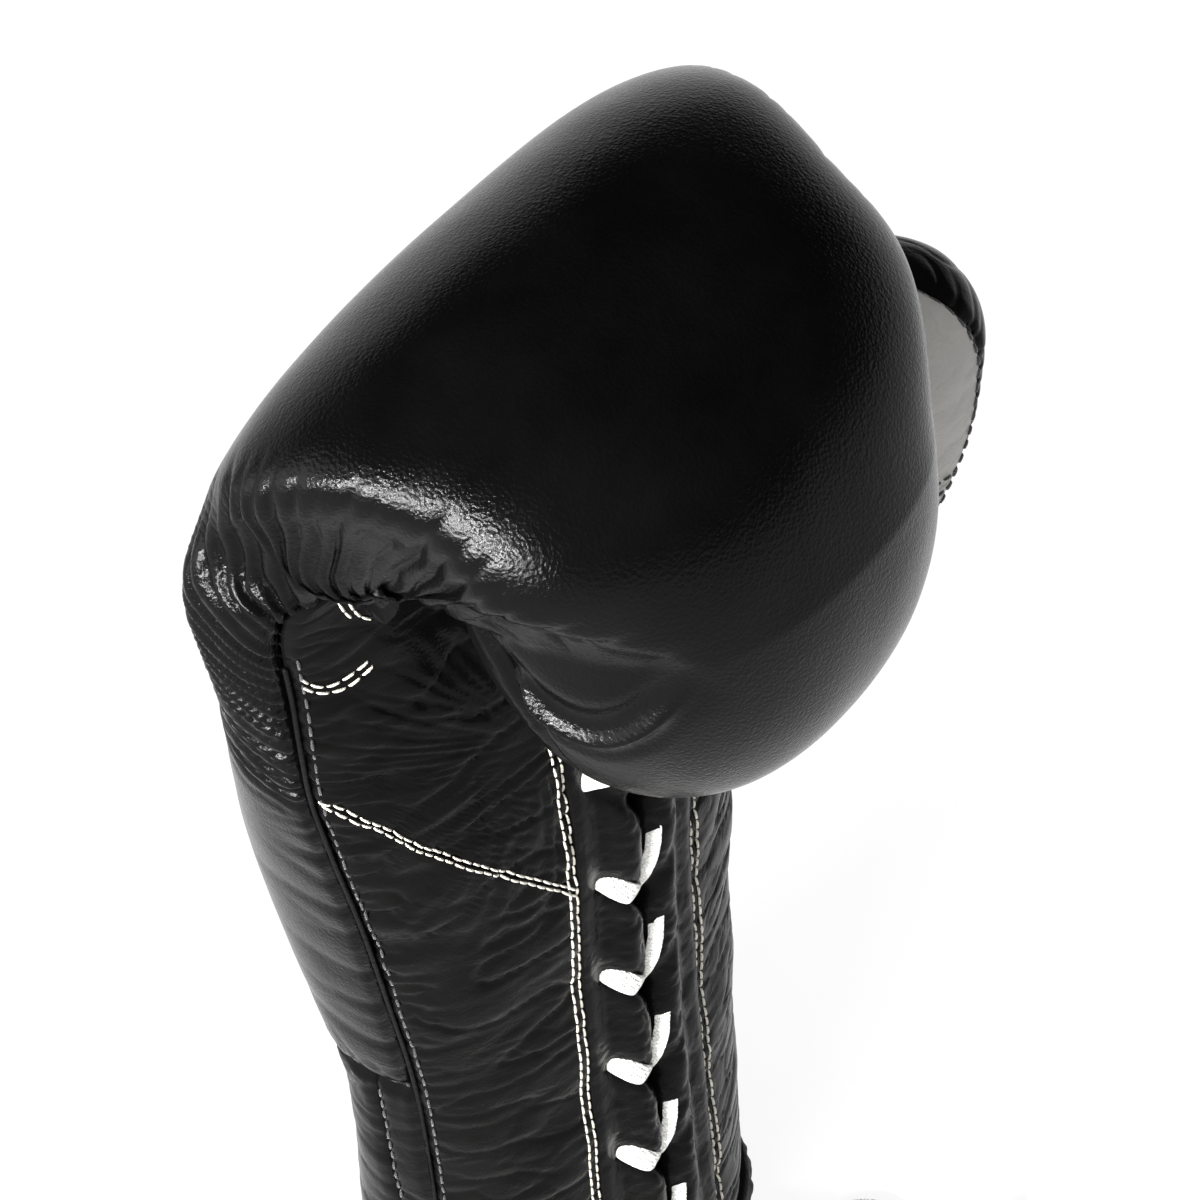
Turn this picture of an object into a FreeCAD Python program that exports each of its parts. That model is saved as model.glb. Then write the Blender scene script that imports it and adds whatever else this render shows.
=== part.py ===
"""Lace-up boxing glove for the right hand, in millimetres.

The glove stands on the rim of its cuff: +Z runs from the cuff to the knuckles,
the palm faces -Y and the thumb is on the +X side. The origin is the centre of
the hand opening, in the plane of the rim.

The body of the glove is a bent tube. Up to the curl it is a stack of level
sections, and from there its sections fan round the curl axis, over the
knuckles and down the front to the fingertips. Every layer, from the leather to
the lining, is a slice between two such tubes.
"""
import FreeCAD
import Part

import os
from math import cos, pi, radians, sin, tan

Vector = FreeCAD.Vector

# Overall sizes
CURL_HEIGHT = 248.0         # height of the axis that the fingers curl round
CURL_SETBACK = 17.8         # that axis lies this far towards the palm
FIST_HALF_WIDTH = 63.7      # half the width over the knuckles
KNUCKLE_RISE = 48.0         # from the curl axis to the top of the fist
FINGER_DROP = 52.0          # from the curl axis down to the fingertips
CUFF_HALF_WIDTH = 43.3      # half the width of the rim
CUFF_BACK_REACH = 29.8      # from the centre plane to the back of the rim
CUFF_PALM_REACH = 29.2      # from the centre plane to the front of the rim

# Walls
LEATHER = 1.5
LINING = 1.0
LAYER_GAP = 0.15            # clearance between two layers of one body
BODY_GAP = 0.4              # clearance between the thumb and the hand
PIECE_GAP = 0.2             # clearance between two pieces side by side

# Seams
SIDE_SEAM_Y = -6.0          # the side seam runs up the glove at this depth
CREASE_HEIGHT = 112.0       # the wrist crease across the back
SEAM_LOOP_HALF_DEPTH = 18.0     # the side seam loops over the curl
SEAM_LOOP_RISE = 23.0
SEAM_LOOP_HEIGHT = 234.0
FINGER_SEAM_HEIGHT = 193.0  # just under the fingertips
HEEL_SEAM_HEIGHT = 151.0    # where the heel seam meets the plackets
HEEL_SEAM_SLOPE = 1.36      # its rise per unit of width
GUSSET_WIDTH = 7.0          # strip between the side seam and the back of the cuff
WELT_WIDTH = 2.6
WELT_RISE = 1.2

# Throat, plackets and tongue
SLOT_HALF_WIDTH = 2.4
PLACKET_HALF_WIDTH = 16.5   # from the centre line to the placket's stitching
PLACKET_THICKNESS = 3.4
THROAT_TOP = 186.0
TONGUE_HALF_WIDTH = 20.0
TONGUE_THICKNESS = 2.4
TONGUE_TOP = 197.0
TONGUE_SLACK = 1.2          # room for the lace's straight runs over the curved palm
TONGUE_BOTTOM = 12.0

# Lace
LACE_DIAMETER = 2.6
LACE_ROWS = 7
LACE_PITCH = 26.5
LACE_FIRST_ROW = 19.0
HOLE_OFFSET = 10.0          # from the centre line to a lace hole
HOLE_RADIUS = 1.9
LACE_CHANNEL = 0.35         # clearance between the lace and what it passes
LACE_BEND = 2.2             # centre-line radius where the lace turns through a hole
CROSSING_STAGGER = 2.4      # one half dives this far above the middle, the other below
KNOT_SIZE = (7.0, 4.5, 5.5)     # half width, half depth and half height
KNOT_DROP = 4.0             # below the lowest row
AGLET_RADIUS = 1.9
AGLET_LENGTH = 16.0

# The bow on the thumb side, from the knot outwards; the other side mirrors it.
# Height is above the surface that the glove stands on, y is from the knot.
LOOP_ROUTE = [
    (5.5, -1.5, 16.0),
    (13.0, -4.5, 15.5),
    (21.5, -8.5, 11.5),
    (30.0, -13.0, 6.5),
    (38.0, -18.5, 2.8),
    (46.5, -19.0, 1.6),
    (49.5, -11.5, 1.5),
    (42.0, -5.5, 1.9),
    (32.5, -4.6, 4.0),
    (22.5, -4.4, 7.5),
    (13.0, -3.2, 10.8),
    (5.5, -1.2, 12.6),
]
TAIL_ROUTE = [
    (2.2, -3.4, 12.0),
    (4.2, -9.0, 9.0),
    (7.5, -15.5, 4.4),
    (12.0, -22.5, 1.7),
    (18.5, -29.0, 1.5),
    (27.0, -33.5, 1.5),
    (36.0, -35.5, 1.6),
    (45.0, -34.5, 1.8),
]

# Cuff rim
BINDING_HEIGHT = 9.0
BINDING_THICKNESS = 1.2

# Back patch
PATCH_HALF_WIDTH = 27.0
PATCH_BOTTOM = 24.0
PATCH_TOP = 86.0
PATCH_THICKNESS = 1.0

# Padding
IMPACT_FOAM_INNER_RADIUS = 34.0     # the two knuckle foams meet here
PALM_FOAM_TOP = 226.0
FINGER_CLEARANCE = 6.7      # the fingers' inner face is this far in front of the curl axis

# Grip bar
BAR_RADIUS = 6.0
BAR_HALF_LENGTH = 38.0
BAR_Y = -9.5
BAR_HEIGHT = 233.0

# Thumb: centre line and outer radius, from the root to the tip
THUMB_LINE = [
    (33.0, -2.0, 124.0, 16.5),
    (46.0, -7.0, 143.0, 19.0),
    (60.0, -15.0, 165.0, 20.0),
    (71.0, -23.0, 191.0, 20.0),
    (75.0, -27.0, 213.0, 18.5),
    (74.5, -29.0, 225.0, 14.5),
    (74.0, -30.0, 230.5, 8.0),
]
THUMB_FOAM = 6.5
THUMB_TIP_FOAM = 10.0
THUMB_WELT_CLEARANCE = 6.0      # the side welt stops this far under the thumb's root
THUMB_ROOT_HEIGHT = 112.0   # lowest point of the thumb's joint with the hand
THUMB_SEAM_TURN = 35.0      # the thumb's inner panels face this far round from -X
THUMB_SEAM_LEAN = 28.0      # and lean with the thumb's centre line
THUMB_PANEL_HEIGHT = 196.0  # the two inner panels meet here
STRAP_BOTTOM = 215.0        # the strap that ties the thumb to the fist
STRAP_WIDTH = 18.0
STRAP_THICKNESS = 2.6
STRAP_Y = -43.0
STRAP_FIST_SIDE = 30.0      # the strap starts inside the fist's outline

# Section shape
SECTION_POWER = 2.35
SECTION_POINTS = 24
SPINE_RADIUS = 24.4         # the sections are centred this far from the curl axis

# Level sections: share of the curl height, share of the fist's half width,
# reach to the back, reach to the palm
LEVELS = [
    (0.000, None, None, None),
    (0.113, 0.680, 29.3, 28.9),
    (0.266, 0.697, 24.0, 27.8),
    (0.399, 0.724, 20.2, 27.1),
    (0.532, 0.776, 30.8, 27.1),
    (0.681, 0.851, 35.0, 28.0),
    (0.847, 0.939, 28.5, 22.0),
]
# Sections round the curl: degrees from the back, share of the half width,
# outer radius as a share of the knuckle rise, inner radius
FAN = [
    (0.0, 1.000, 0.750, 2.6),
    (30.0, 0.977, 0.775, 2.6),
    (60.0, 0.977, 0.877, 2.6),
    (90.0, 0.907, 1.000, 2.6),
    (120.0, 0.834, 1.063, 4.0),
    (150.0, 0.810, 1.177, 6.0),
    (175.0, 0.673, 1.265, 7.5),
]
# Fingertip sections: share of the drop, share of the section's size
TIPS = [(0.35, 0.93), (0.65, 0.78), (0.85, 0.56), (0.96, 0.30)]

# The hollow for the hand, in the same columns, in millimetres
HOLLOW_LEVELS = [
    (0.000, 33.8, 20.8, 20.0),
    (0.113, 33.4, 20.0, 20.0),
    (0.266, 34.0, 15.0, 19.2),
    (0.399, 35.0, 12.0, 18.6),
    (0.532, 38.0, 17.0, 19.0),
    (0.681, 42.0, 19.0, 20.0),
    (0.847, 45.0, 12.5, 15.5),
]
HOLLOW_FAN = [
    (0.0, 46.0, 26.5, 8.0),
    (30.0, 46.0, 27.0, 8.0),
    (60.0, 46.0, 27.0, 8.0),
    (90.0, 44.0, 27.0, 8.0),
    (120.0, 42.0, 27.0, 9.0),
    (150.0, 40.0, 28.0, 11.0),
    (175.0, 36.0, 28.5, 12.5),
]
HOLLOW_DROP = 30.0

FAR = 400.0                 # larger than the glove
CURL = (-CURL_SETBACK, CURL_HEIGHT)


def section(origin, outward, low, high, centre, half_width):
    """A closed rounded section.

    origin and outward are (y, z) pairs; low, high and centre are distances
    from origin along outward.
    """
    points = []
    for index in range(SECTION_POINTS):
        angle = 2 * pi * index / SECTION_POINTS
        across, along = cos(angle), sin(angle)
        power = SECTION_POWER
        swell = (abs(across) ** power + abs(along) ** power) ** (-1 / power)
        reach = high - centre if along >= 0 else centre - low
        offset = centre + reach * swell * along
        points.append(Vector(half_width * swell * across,
                             origin[0] + offset * outward[0],
                             origin[1] + offset * outward[1]))
    curve = Part.BSplineCurve()
    curve.interpolate(points, PeriodicFlag=True)
    return Part.Wire([curve.toShape()])


def tube(levels, fan, drop, tips, middle, inset, bottom):
    """The bent tube through all its sections, drawn in by inset all round."""
    wires = []
    for index, (height, half_width, back, palm) in enumerate(levels):
        level = height if index else bottom
        wires.append(section((0, level), (1, 0), inset - palm, back - inset, 0,
                             half_width - inset))
    for angle, half_width, outer, inner in fan:
        turn = radians(angle)
        outward = (cos(turn), sin(turn))
        wires.append(section(CURL, outward, inner + inset, outer - inset,
                             middle(inner, outer), half_width - inset))
    down = (-sin(turn), cos(turn))
    for share, size in tips:
        travel = share * (drop - inset)
        origin = (CURL[0] + down[0] * travel, CURL[1] + down[1] * travel)
        centre = middle(inner, outer)
        wires.append(section(origin, outward,
                             centre - (centre - inner - inset) * size,
                             centre + (outer - inset - centre) * size,
                             centre, (half_width - inset) * size))
    return Part.makeLoft(wires, True, True, False)


def outer_levels():
    """The outer level sections in millimetres."""
    rim = (0.0, CUFF_HALF_WIDTH, CUFF_BACK_REACH, CUFF_PALM_REACH)
    rest = [(share * CURL_HEIGHT, width * FIST_HALF_WIDTH, back, palm)
            for share, width, back, palm in LEVELS[1:]]
    return [rim] + rest


def outer_tube(inset, bottom=0.0):
    """The glove's outer form, drawn in by inset."""
    fan = [(angle, width * FIST_HALF_WIDTH, outer * KNUCKLE_RISE, inner)
           for angle, width, outer, inner in FAN]
    return tube(outer_levels(), fan, FINGER_DROP, TIPS,
                lambda inner, outer: SPINE_RADIUS, inset, bottom)


def hollow_tube(inset, bottom=0.0):
    """The hollow for the hand, drawn in by inset; negative values grow it."""
    levels = [(share * CURL_HEIGHT, width, back, palm)
              for share, width, back, palm in HOLLOW_LEVELS]
    return tube(levels, HOLLOW_FAN, HOLLOW_DROP, TIPS[:3],
                lambda inner, outer: (inner + outer) / 2, inset, bottom)


def palm_y(x, height, inset=0.0):
    """Y of the palm-side surface of the outer form, drawn in by inset."""
    levels = outer_levels()
    for below, above in zip(levels, levels[1:]):
        if below[0] <= height <= above[0]:
            share = (height - below[0]) / (above[0] - below[0])
            width = below[1] + share * (above[1] - below[1]) - inset
            palm = below[3] + share * (above[3] - below[3]) - inset
    power = SECTION_POWER
    return -palm * (1 - (abs(x) / width) ** power) ** (1 / power)


def slab(x0, x1, y0, y1, z0, z1):
    """An axis-aligned box between its limits."""
    return Part.makeBox(x1 - x0, y1 - y0, z1 - z0, Vector(x0, y0, z0))


def prism(points, axis):
    """A prism through the whole glove, along X or Y, over an outline."""
    if axis == "X":
        wire = Part.makePolygon([Vector(-FAR, a, b) for a, b in points])
        return Part.Face(wire).extrude(Vector(2 * FAR, 0, 0))
    wire = Part.makePolygon([Vector(a, -FAR, b) for a, b in points])
    return Part.Face(wire).extrude(Vector(0, 2 * FAR, 0))


def palm_region(grow):
    """All that lies on the palm side of the side seam, moved out by grow.

    The seam climbs the side of the glove, loops over the curl and comes down
    inside the fingers.
    """
    middle = SIDE_SEAM_Y - SEAM_LOOP_HALF_DEPTH
    back = SIDE_SEAM_Y + grow
    front = middle - SEAM_LOOP_HALF_DEPTH - grow
    bottom = FINGER_SEAM_HEIGHT
    loop = []
    for index in range(1, 12):
        angle = pi * index / 12
        loop.append((middle + (SEAM_LOOP_HALF_DEPTH + grow) * cos(angle),
                     SEAM_LOOP_HEIGHT + (SEAM_LOOP_RISE + grow) * sin(angle)))
    outline = [(back, -FAR), (back, SEAM_LOOP_HEIGHT)] + loop
    outline += [(front, SEAM_LOOP_HEIGHT), (front, bottom), (-FAR, bottom), (-FAR, -FAR)]
    outline.append(outline[0])
    return prism(outline, "X")


def below_heel(grow):
    """All that lies below the heel seam, which rises from the plackets to both sides."""
    start = HEEL_SEAM_HEIGHT + grow
    rise = HEEL_SEAM_SLOPE * (FAR - PLACKET_HALF_WIDTH)
    outline = [(-FAR, -FAR), (FAR, -FAR), (FAR, start + rise),
               (PLACKET_HALF_WIDTH, start), (-PLACKET_HALF_WIDTH, start), (-FAR, start + rise)]
    outline.append(outline[0])
    return prism(outline, "Y")


def thumb_loft(inset, tip_inset, root_pull=0.0):
    """The thumb's round form, drawn in by inset and by tip_inset at its end."""
    wires = []
    last = len(THUMB_LINE) - 1
    for index, (x, y, z, radius) in enumerate(THUMB_LINE):
        before = THUMB_LINE[max(index - 1, 0)]
        after = THUMB_LINE[min(index + 1, last)]
        direction = Vector(after[0] - before[0], after[1] - before[1], after[2] - before[2])
        direction.normalize()
        near_tip = max(0, index - last + 3) / 3
        centre = Vector(x, y, z) - direction * (tip_inset * near_tip)
        if index == 0:
            centre = centre - direction * root_pull
        size = max(radius - inset, 0.35 * radius)
        wires.append(Part.Wire([Part.makeCircle(size, centre, direction)]))
    return Part.makeLoft(wires, True, True, False)


def rounded_path(points, radius_share=0.45, limit=None):
    """A wire of straight runs joined by tangent arcs, and its smallest radius."""
    corners = [Vector(*point) for point in points]
    edges = []
    smallest = FAR
    start = corners[0]
    for index in range(1, len(corners) - 1):
        here = corners[index]
        back = corners[index - 1] - here
        ahead = corners[index + 1] - here
        run = min(back.Length, ahead.Length)
        half_turn = (pi - back.getAngle(ahead)) / 2
        radius = radius_share * run / tan(half_turn)
        if limit is not None:
            radius = min(radius, limit)
        smallest = min(smallest, radius)
        back.normalize()
        ahead.normalize()
        cut = radius * tan(half_turn)
        first = here + back * cut
        last = here + ahead * cut
        middle = back + ahead
        middle.normalize()
        centre = here + middle * (radius / cos(half_turn))
        inward = here - centre
        inward.normalize()
        edges.append(Part.LineSegment(start, first).toShape())
        edges.append(Part.Arc(first, centre + inward * radius, last).toShape())
        start = last
    edges.append(Part.LineSegment(start, corners[-1]).toShape())
    return Part.Wire(edges), smallest


def cord(points, diameter, limit=None, name=""):
    """A round cord along a route."""
    path, smallest = rounded_path(points, limit=limit)
    first = Vector(*points[0])
    direction = Vector(*points[1]) - first
    ring = Part.Wire([Part.makeCircle(diameter / 2, first, direction)])
    solid = path.makePipeShell([ring], True, False)
    share = solid.Volume / (pi * diameter ** 2 / 4 * path.Length)
    print(f"{name}: length {path.Length:.1f}, smallest radius {smallest:.2f}, volume share {share:.3f}")
    return solid


def lace_row(row):
    """Height of a lace row, counted from the rim."""
    return LACE_FIRST_ROW + row * LACE_PITCH


def lace_route(side, stagger):
    """One half of the lace, from the top bar's middle to the bow's knot.

    side is +1 or -1, the side of its first hole. From each hole it crosses
    that placket, dives into the slot and goes under the other placket to the
    next hole down. stagger keeps the two halves apart where they cross.
    """
    lift = LACE_DIAMETER / 2 + LACE_CHANNEL
    under = PLACKET_THICKNESS + lift
    top = LACE_ROWS - 1
    height = lace_row(top)
    points = [(0, palm_y(0, height) - lift, height)]
    points.append((side * HOLE_OFFSET, palm_y(HOLE_OFFSET, height) - lift, height))
    points.append((side * HOLE_OFFSET, palm_y(HOLE_OFFSET, height, under), height))
    for row in range(top - 1, -1, -1):
        height = lace_row(row)
        points.append((side * HOLE_OFFSET, palm_y(HOLE_OFFSET, height, under), height))
        points.append((side * HOLE_OFFSET, palm_y(HOLE_OFFSET, height) - lift, height))
        if row > 0:
            crossing = height - LACE_PITCH / 2 + stagger
            points.append((0, palm_y(0, crossing) - lift, crossing))
            points.append((0, palm_y(0, crossing, under), crossing))
            side = -side
    points.append((side * KNOT_SIZE[0] * 0.6, KNOT_Y, LACE_FIRST_ROW - KNOT_DROP / 2))
    return points


KNOT_Y = palm_y(0, LACE_FIRST_ROW) - LACE_DIAMETER - KNOT_SIZE[1] / 2


def build():
    """All the pieces, by name."""
    parts = {}
    outer = outer_tube(0)
    inner_skin = outer_tube(LEATHER, -5)
    foam_outer = outer_tube(LEATHER + LAYER_GAP)
    lining_outer = hollow_tube(-LINING, -5)
    foam_inner = hollow_tube(-LINING - LAYER_GAP, -5)
    hollow = hollow_tube(0, -10)

    rim_top = BINDING_THICKNESS + LAYER_GAP
    above_rim = slab(-FAR, FAR, -FAR, FAR, rim_top, FAR)
    leather = outer.cut(inner_skin).common(above_rim)
    foam = foam_outer.cut(foam_inner).common(above_rim)
    lining = lining_outer.cut(hollow).common(above_rim)

    thumb_hollow = thumb_loft(LEATHER + THUMB_FOAM + LINING, THUMB_TIP_FOAM, 12)
    thumb_passage = thumb_loft(LEATHER + THUMB_FOAM - 2 * LAYER_GAP, THUMB_TIP_FOAM, 4)

    half = PLACKET_HALF_WIDTH
    slot = slab(-SLOT_HALF_WIDTH, SLOT_HALF_WIDTH, -FAR, 0, -FAR, THROAT_TOP)
    front = slab(-half, half, -FAR, 0, -FAR, THROAT_TOP)
    throat_half = TONGUE_HALF_WIDTH + PIECE_GAP
    throat = slab(-throat_half, throat_half, -FAR, -8, -FAR, TONGUE_TOP + PIECE_GAP)

    # Leather
    palm_side = palm_region(-PIECE_GAP / 2)
    back_side = palm_region(PIECE_GAP / 2)
    knuckles = slab(-FAR, FAR, -FAR, FAR, CREASE_HEIGHT + PIECE_GAP / 2, FAR)
    wrist = slab(-FAR, FAR, -FAR, FAR, -FAR, CREASE_HEIGHT - PIECE_GAP / 2)
    back_leather = leather.cut(back_side)
    palm_leather = leather.common(palm_side).cut(thumb_passage)
    parts["knuckle_shell"] = back_leather.common(knuckles).cut(thumb_passage)
    cuff_leather = back_leather.common(wrist)
    gusset_y = SIDE_SEAM_Y + GUSSET_WIDTH
    parts["cuff_back"] = cuff_leather.common(slab(-FAR, FAR, gusset_y + PIECE_GAP, FAR, -FAR, FAR))
    gussets = cuff_leather.common(slab(-FAR, FAR, -FAR, gusset_y, -FAR, FAR))
    parts["gusset_pinky_side"] = gussets.common(slab(-FAR, 0, -FAR, FAR, -FAR, FAR))
    parts["gusset_thumb_side"] = gussets.common(slab(0, FAR, -FAR, FAR, -FAR, FAR))
    middle = slab(-half + PIECE_GAP / 2, half - PIECE_GAP / 2, -FAR, FAR, THROAT_TOP + PIECE_GAP, FAR)
    parts["palm_centre"] = palm_leather.common(middle)
    for name, x0, x1 in (("pinky", -FAR, -half), ("thumb", half, FAR)):
        column = slab(x0, x1, -FAR, FAR, -FAR, FAR)
        panel = palm_leather.common(column)
        parts[f"palm_{name}_side"] = panel.cut(below_heel(PIECE_GAP / 2))
        parts[f"cuff_{name}_side"] = panel.common(below_heel(-PIECE_GAP / 2))

    # Plackets with their holes, and the tongue behind them
    placket = outer.cut(outer_tube(PLACKET_THICKNESS, -5)).common(above_rim)
    placket = placket.common(front).cut(slot)
    for row in range(LACE_ROWS):
        for side in (-1, 1):
            start = Vector(side * HOLE_OFFSET, -FAR, lace_row(row))
            placket = placket.cut(Part.makeCylinder(HOLE_RADIUS, FAR, start, Vector(0, 1, 0)))
    trim = PIECE_GAP / 2
    parts["placket_pinky_side"] = placket.common(slab(-half + trim, 0, -FAR, FAR, -FAR, FAR))
    parts["placket_thumb_side"] = placket.common(slab(0, half - trim, -FAR, FAR, -FAR, FAR))
    tongue_depth = PLACKET_THICKNESS + LACE_DIAMETER + 2 * LACE_CHANNEL + TONGUE_SLACK
    tongue = outer_tube(tongue_depth).cut(outer_tube(tongue_depth + TONGUE_THICKNESS, -5))
    tongue_box = slab(-TONGUE_HALF_WIDTH, TONGUE_HALF_WIDTH, -FAR, -8, TONGUE_BOTTOM, TONGUE_TOP)
    parts["tongue"] = tongue.common(tongue_box)

    # Rim binding, side welts and back patch
    binding_inside = hollow_tube(BINDING_THICKNESS, -20)
    binding = outer_tube(-BINDING_THICKNESS).cut(binding_inside)
    binding = binding.common(slab(-FAR, FAR, -FAR, FAR, 0, BINDING_HEIGHT))
    walls = outer_tube(-LAYER_GAP).cut(hollow_tube(LAYER_GAP, -20))
    walls = walls.common(slab(-FAR, FAR, -FAR, FAR, BINDING_THICKNESS, FAR))
    parts["rim_binding"] = binding.cut(walls).cut(slot)
    proud = outer_tube(-WELT_RISE).cut(outer_tube(-LAYER_GAP, -5))
    band = palm_region(WELT_WIDTH / 2).cut(palm_region(-WELT_WIDTH / 2))
    welt_zone = slab(-FAR, FAR, -FAR, FAR, BINDING_HEIGHT + PIECE_GAP, SEAM_LOOP_HEIGHT)
    welts = proud.common(band).common(welt_zone)
    back_half = slab(-FAR, FAR, SIDE_SEAM_Y - WELT_WIDTH, FAR, -FAR, FAR)
    welts = welts.common(back_half)
    parts["side_welt_pinky"] = welts.common(slab(-FAR, 0, -FAR, FAR, -FAR, FAR))
    thumb_welt_top = THUMB_ROOT_HEIGHT - THUMB_WELT_CLEARANCE
    parts["side_welt_thumb"] = welts.common(slab(0, FAR, -FAR, FAR, -FAR, thumb_welt_top))
    patch = outer_tube(-PATCH_THICKNESS).cut(outer_tube(-LAYER_GAP, -5))
    patch_box = slab(-PATCH_HALF_WIDTH, PATCH_HALF_WIDTH, 0, FAR, PATCH_BOTTOM, PATCH_TOP)
    parts["back_patch"] = patch.common(patch_box)

    # Padding
    foam = foam.cut(throat).cut(thumb_passage)
    cuff_zone = slab(-FAR, FAR, -FAR, FAR, -FAR, CREASE_HEIGHT - PIECE_GAP / 2)
    hand_zone = slab(-FAR, FAR, -FAR, FAR, CREASE_HEIGHT + PIECE_GAP / 2, FAR)
    split_back = slab(-FAR, FAR, SIDE_SEAM_Y + PIECE_GAP / 2, FAR, -FAR, FAR)
    split_palm = slab(-FAR, FAR, -FAR, SIDE_SEAM_Y - PIECE_GAP / 2, -FAR, FAR)
    cuff_foam = foam.common(cuff_zone)
    parts["cuff_pad_back"] = cuff_foam.common(split_back)
    cuff_front = cuff_foam.common(split_palm)
    parts["cuff_pad_pinky_side"] = cuff_front.common(slab(-FAR, 0, -FAR, FAR, -FAR, FAR))
    parts["cuff_pad_thumb_side"] = cuff_front.common(slab(0, FAR, -FAR, FAR, -FAR, FAR))
    hand_foam = foam.common(hand_zone)
    palm_zone = slab(-FAR, FAR, -FAR, SIDE_SEAM_Y - PIECE_GAP / 2, -FAR, PALM_FOAM_TOP)
    palm_zone = palm_zone.cut(finger_zone(PIECE_GAP / 2))
    parts["palm_pad"] = hand_foam.common(palm_zone)
    back_zone = slab(-FAR, FAR, SIDE_SEAM_Y + PIECE_GAP / 2, FAR, -FAR, PALM_FOAM_TOP)
    parts["back_pad"] = hand_foam.common(back_zone)
    knuckle_zone = slab(-FAR, FAR, -FAR, FAR, PALM_FOAM_TOP + PIECE_GAP, FAR)
    fist_foam = hand_foam.common(knuckle_zone.fuse(finger_zone(-PIECE_GAP / 2)))
    parts["comfort_foam"] = fist_foam.common(foam_drum(-PIECE_GAP / 2))
    parts["impact_foam"] = fist_foam.cut(foam_drum(PIECE_GAP / 2))

    # Lining and grip bar
    parts["hand_lining"] = lining.cut(throat).cut(thumb_passage)
    bar_start = Vector(-BAR_HALF_LENGTH, BAR_Y, BAR_HEIGHT)
    bar = Part.makeCylinder(BAR_RADIUS, 2 * BAR_HALF_LENGTH, bar_start, Vector(1, 0, 0))
    parts["grip_bar"] = bar.common(hollow_tube(LAYER_GAP))

    parts.update(thumb_parts())
    parts.update(lace_parts())
    return parts


def finger_zone(grow):
    """The front of the fist, below the padding's upper joint."""
    face = -CURL_SETBACK - FINGER_CLEARANCE + grow
    return slab(-FAR, FAR, -FAR, face, FINGER_SEAM_HEIGHT + 2 - grow, PALM_FOAM_TOP + 1)


def foam_drum(grow):
    """The drum round the curl axis where the two knuckle foams meet."""
    radius = IMPACT_FOAM_INNER_RADIUS + grow
    start = Vector(-FAR, CURL[0], CURL[1])
    drum = Part.makeCylinder(radius, 2 * FAR, start, Vector(1, 0, 0))
    legs = slab(-FAR, FAR, CURL[0] - radius, CURL[0] + radius, -FAR, CURL[1])
    return drum.fuse(legs)


def thumb_parts():
    """The thumb: leather, padding, lining and strap, clear of the hand."""
    parts = {}
    hand = outer_tube(-BODY_GAP, -5)
    hand = hand.fuse(slab(-FAR, FAR, -FAR, FAR, -FAR, THUMB_ROOT_HEIGHT))
    skin = thumb_loft(0, 0).cut(thumb_loft(LEATHER, LEATHER, 2)).cut(hand)
    x, y, z, _ = THUMB_LINE[2]
    inner_side = slab(-FAR, 0, -FAR, FAR, -FAR, FAR)
    inner_side.rotate(Vector(0, 0, 0), Vector(0, 1, 0), THUMB_SEAM_LEAN)
    inner_side.rotate(Vector(0, 0, 0), Vector(0, 0, 1), THUMB_SEAM_TURN)
    inner_side.translate(Vector(x, y, z))
    parts["thumb_outer"] = skin.cut(inner_side)
    inner = skin.common(inner_side)
    upper = slab(-FAR, FAR, -FAR, FAR, THUMB_PANEL_HEIGHT + PIECE_GAP, FAR)
    lower = slab(-FAR, FAR, -FAR, FAR, -FAR, THUMB_PANEL_HEIGHT)
    parts["thumb_inner_upper"] = inner.common(upper)
    parts["thumb_inner_lower"] = inner.common(lower)

    depth = LEATHER + LAYER_GAP
    lining_depth = LEATHER + THUMB_FOAM
    pad = thumb_loft(depth, depth)
    pad = pad.cut(thumb_loft(lining_depth - LAYER_GAP, THUMB_TIP_FOAM - LINING - LAYER_GAP, 2))
    parts["thumb_pad"] = pad.cut(hand)
    lining = thumb_loft(lining_depth, THUMB_TIP_FOAM - LINING)
    lining = lining.cut(thumb_loft(lining_depth + LINING, THUMB_TIP_FOAM, 2))
    parts["thumb_lining"] = lining.cut(hand)

    strap = slab(STRAP_FIST_SIDE, x + LEATHER, STRAP_Y, STRAP_Y + STRAP_THICKNESS,
                 STRAP_BOTTOM, STRAP_BOTTOM + STRAP_WIDTH)
    strap = strap.cut(hand).cut(thumb_loft(-LAYER_GAP, 0))
    parts["thumb_strap"] = strap
    return parts


def bow_route(points, side):
    """A bow route in the glove's frame, on one side of the knot."""
    return [(side * x, KNOT_Y + y, z) for x, y, z in points]


def lace_parts():
    """The lace through its holes, the bow, its tails and their aglets."""
    parts = {}
    halves = []
    for side, name in ((1, "thumb side"), (-1, "pinky side")):
        route = lace_route(side, side * CROSSING_STAGGER)
        halves.append(cord(route, LACE_DIAMETER, LACE_BEND, f"lace, {name}"))
    parts["lace"] = halves[0].fuse(halves[1])

    knot = Part.makeSphere(1)
    matrix = FreeCAD.Matrix()
    matrix.scale(*KNOT_SIZE)
    knot = knot.transformGeometry(matrix)
    knot.translate(Vector(0, KNOT_Y, LACE_FIRST_ROW - KNOT_DROP))
    parts["bow_knot"] = knot

    for side, name in ((1, "thumb_side"), (-1, "pinky_side")):
        loop = cord(bow_route(LOOP_ROUTE, side), LACE_DIAMETER, name=f"loop, {name}")
        parts[f"bow_loop_{name}"] = loop
        tail_points = bow_route(TAIL_ROUTE, side)
        parts[f"lace_tail_{name}"] = cord(tail_points, LACE_DIAMETER, name=f"tail, {name}")
        end = Vector(*tail_points[-1])
        direction = end - Vector(*tail_points[-2])
        parts[f"aglet_{name}"] = Part.makeCylinder(AGLET_RADIUS, AGLET_LENGTH, end, direction)
    return parts


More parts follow.
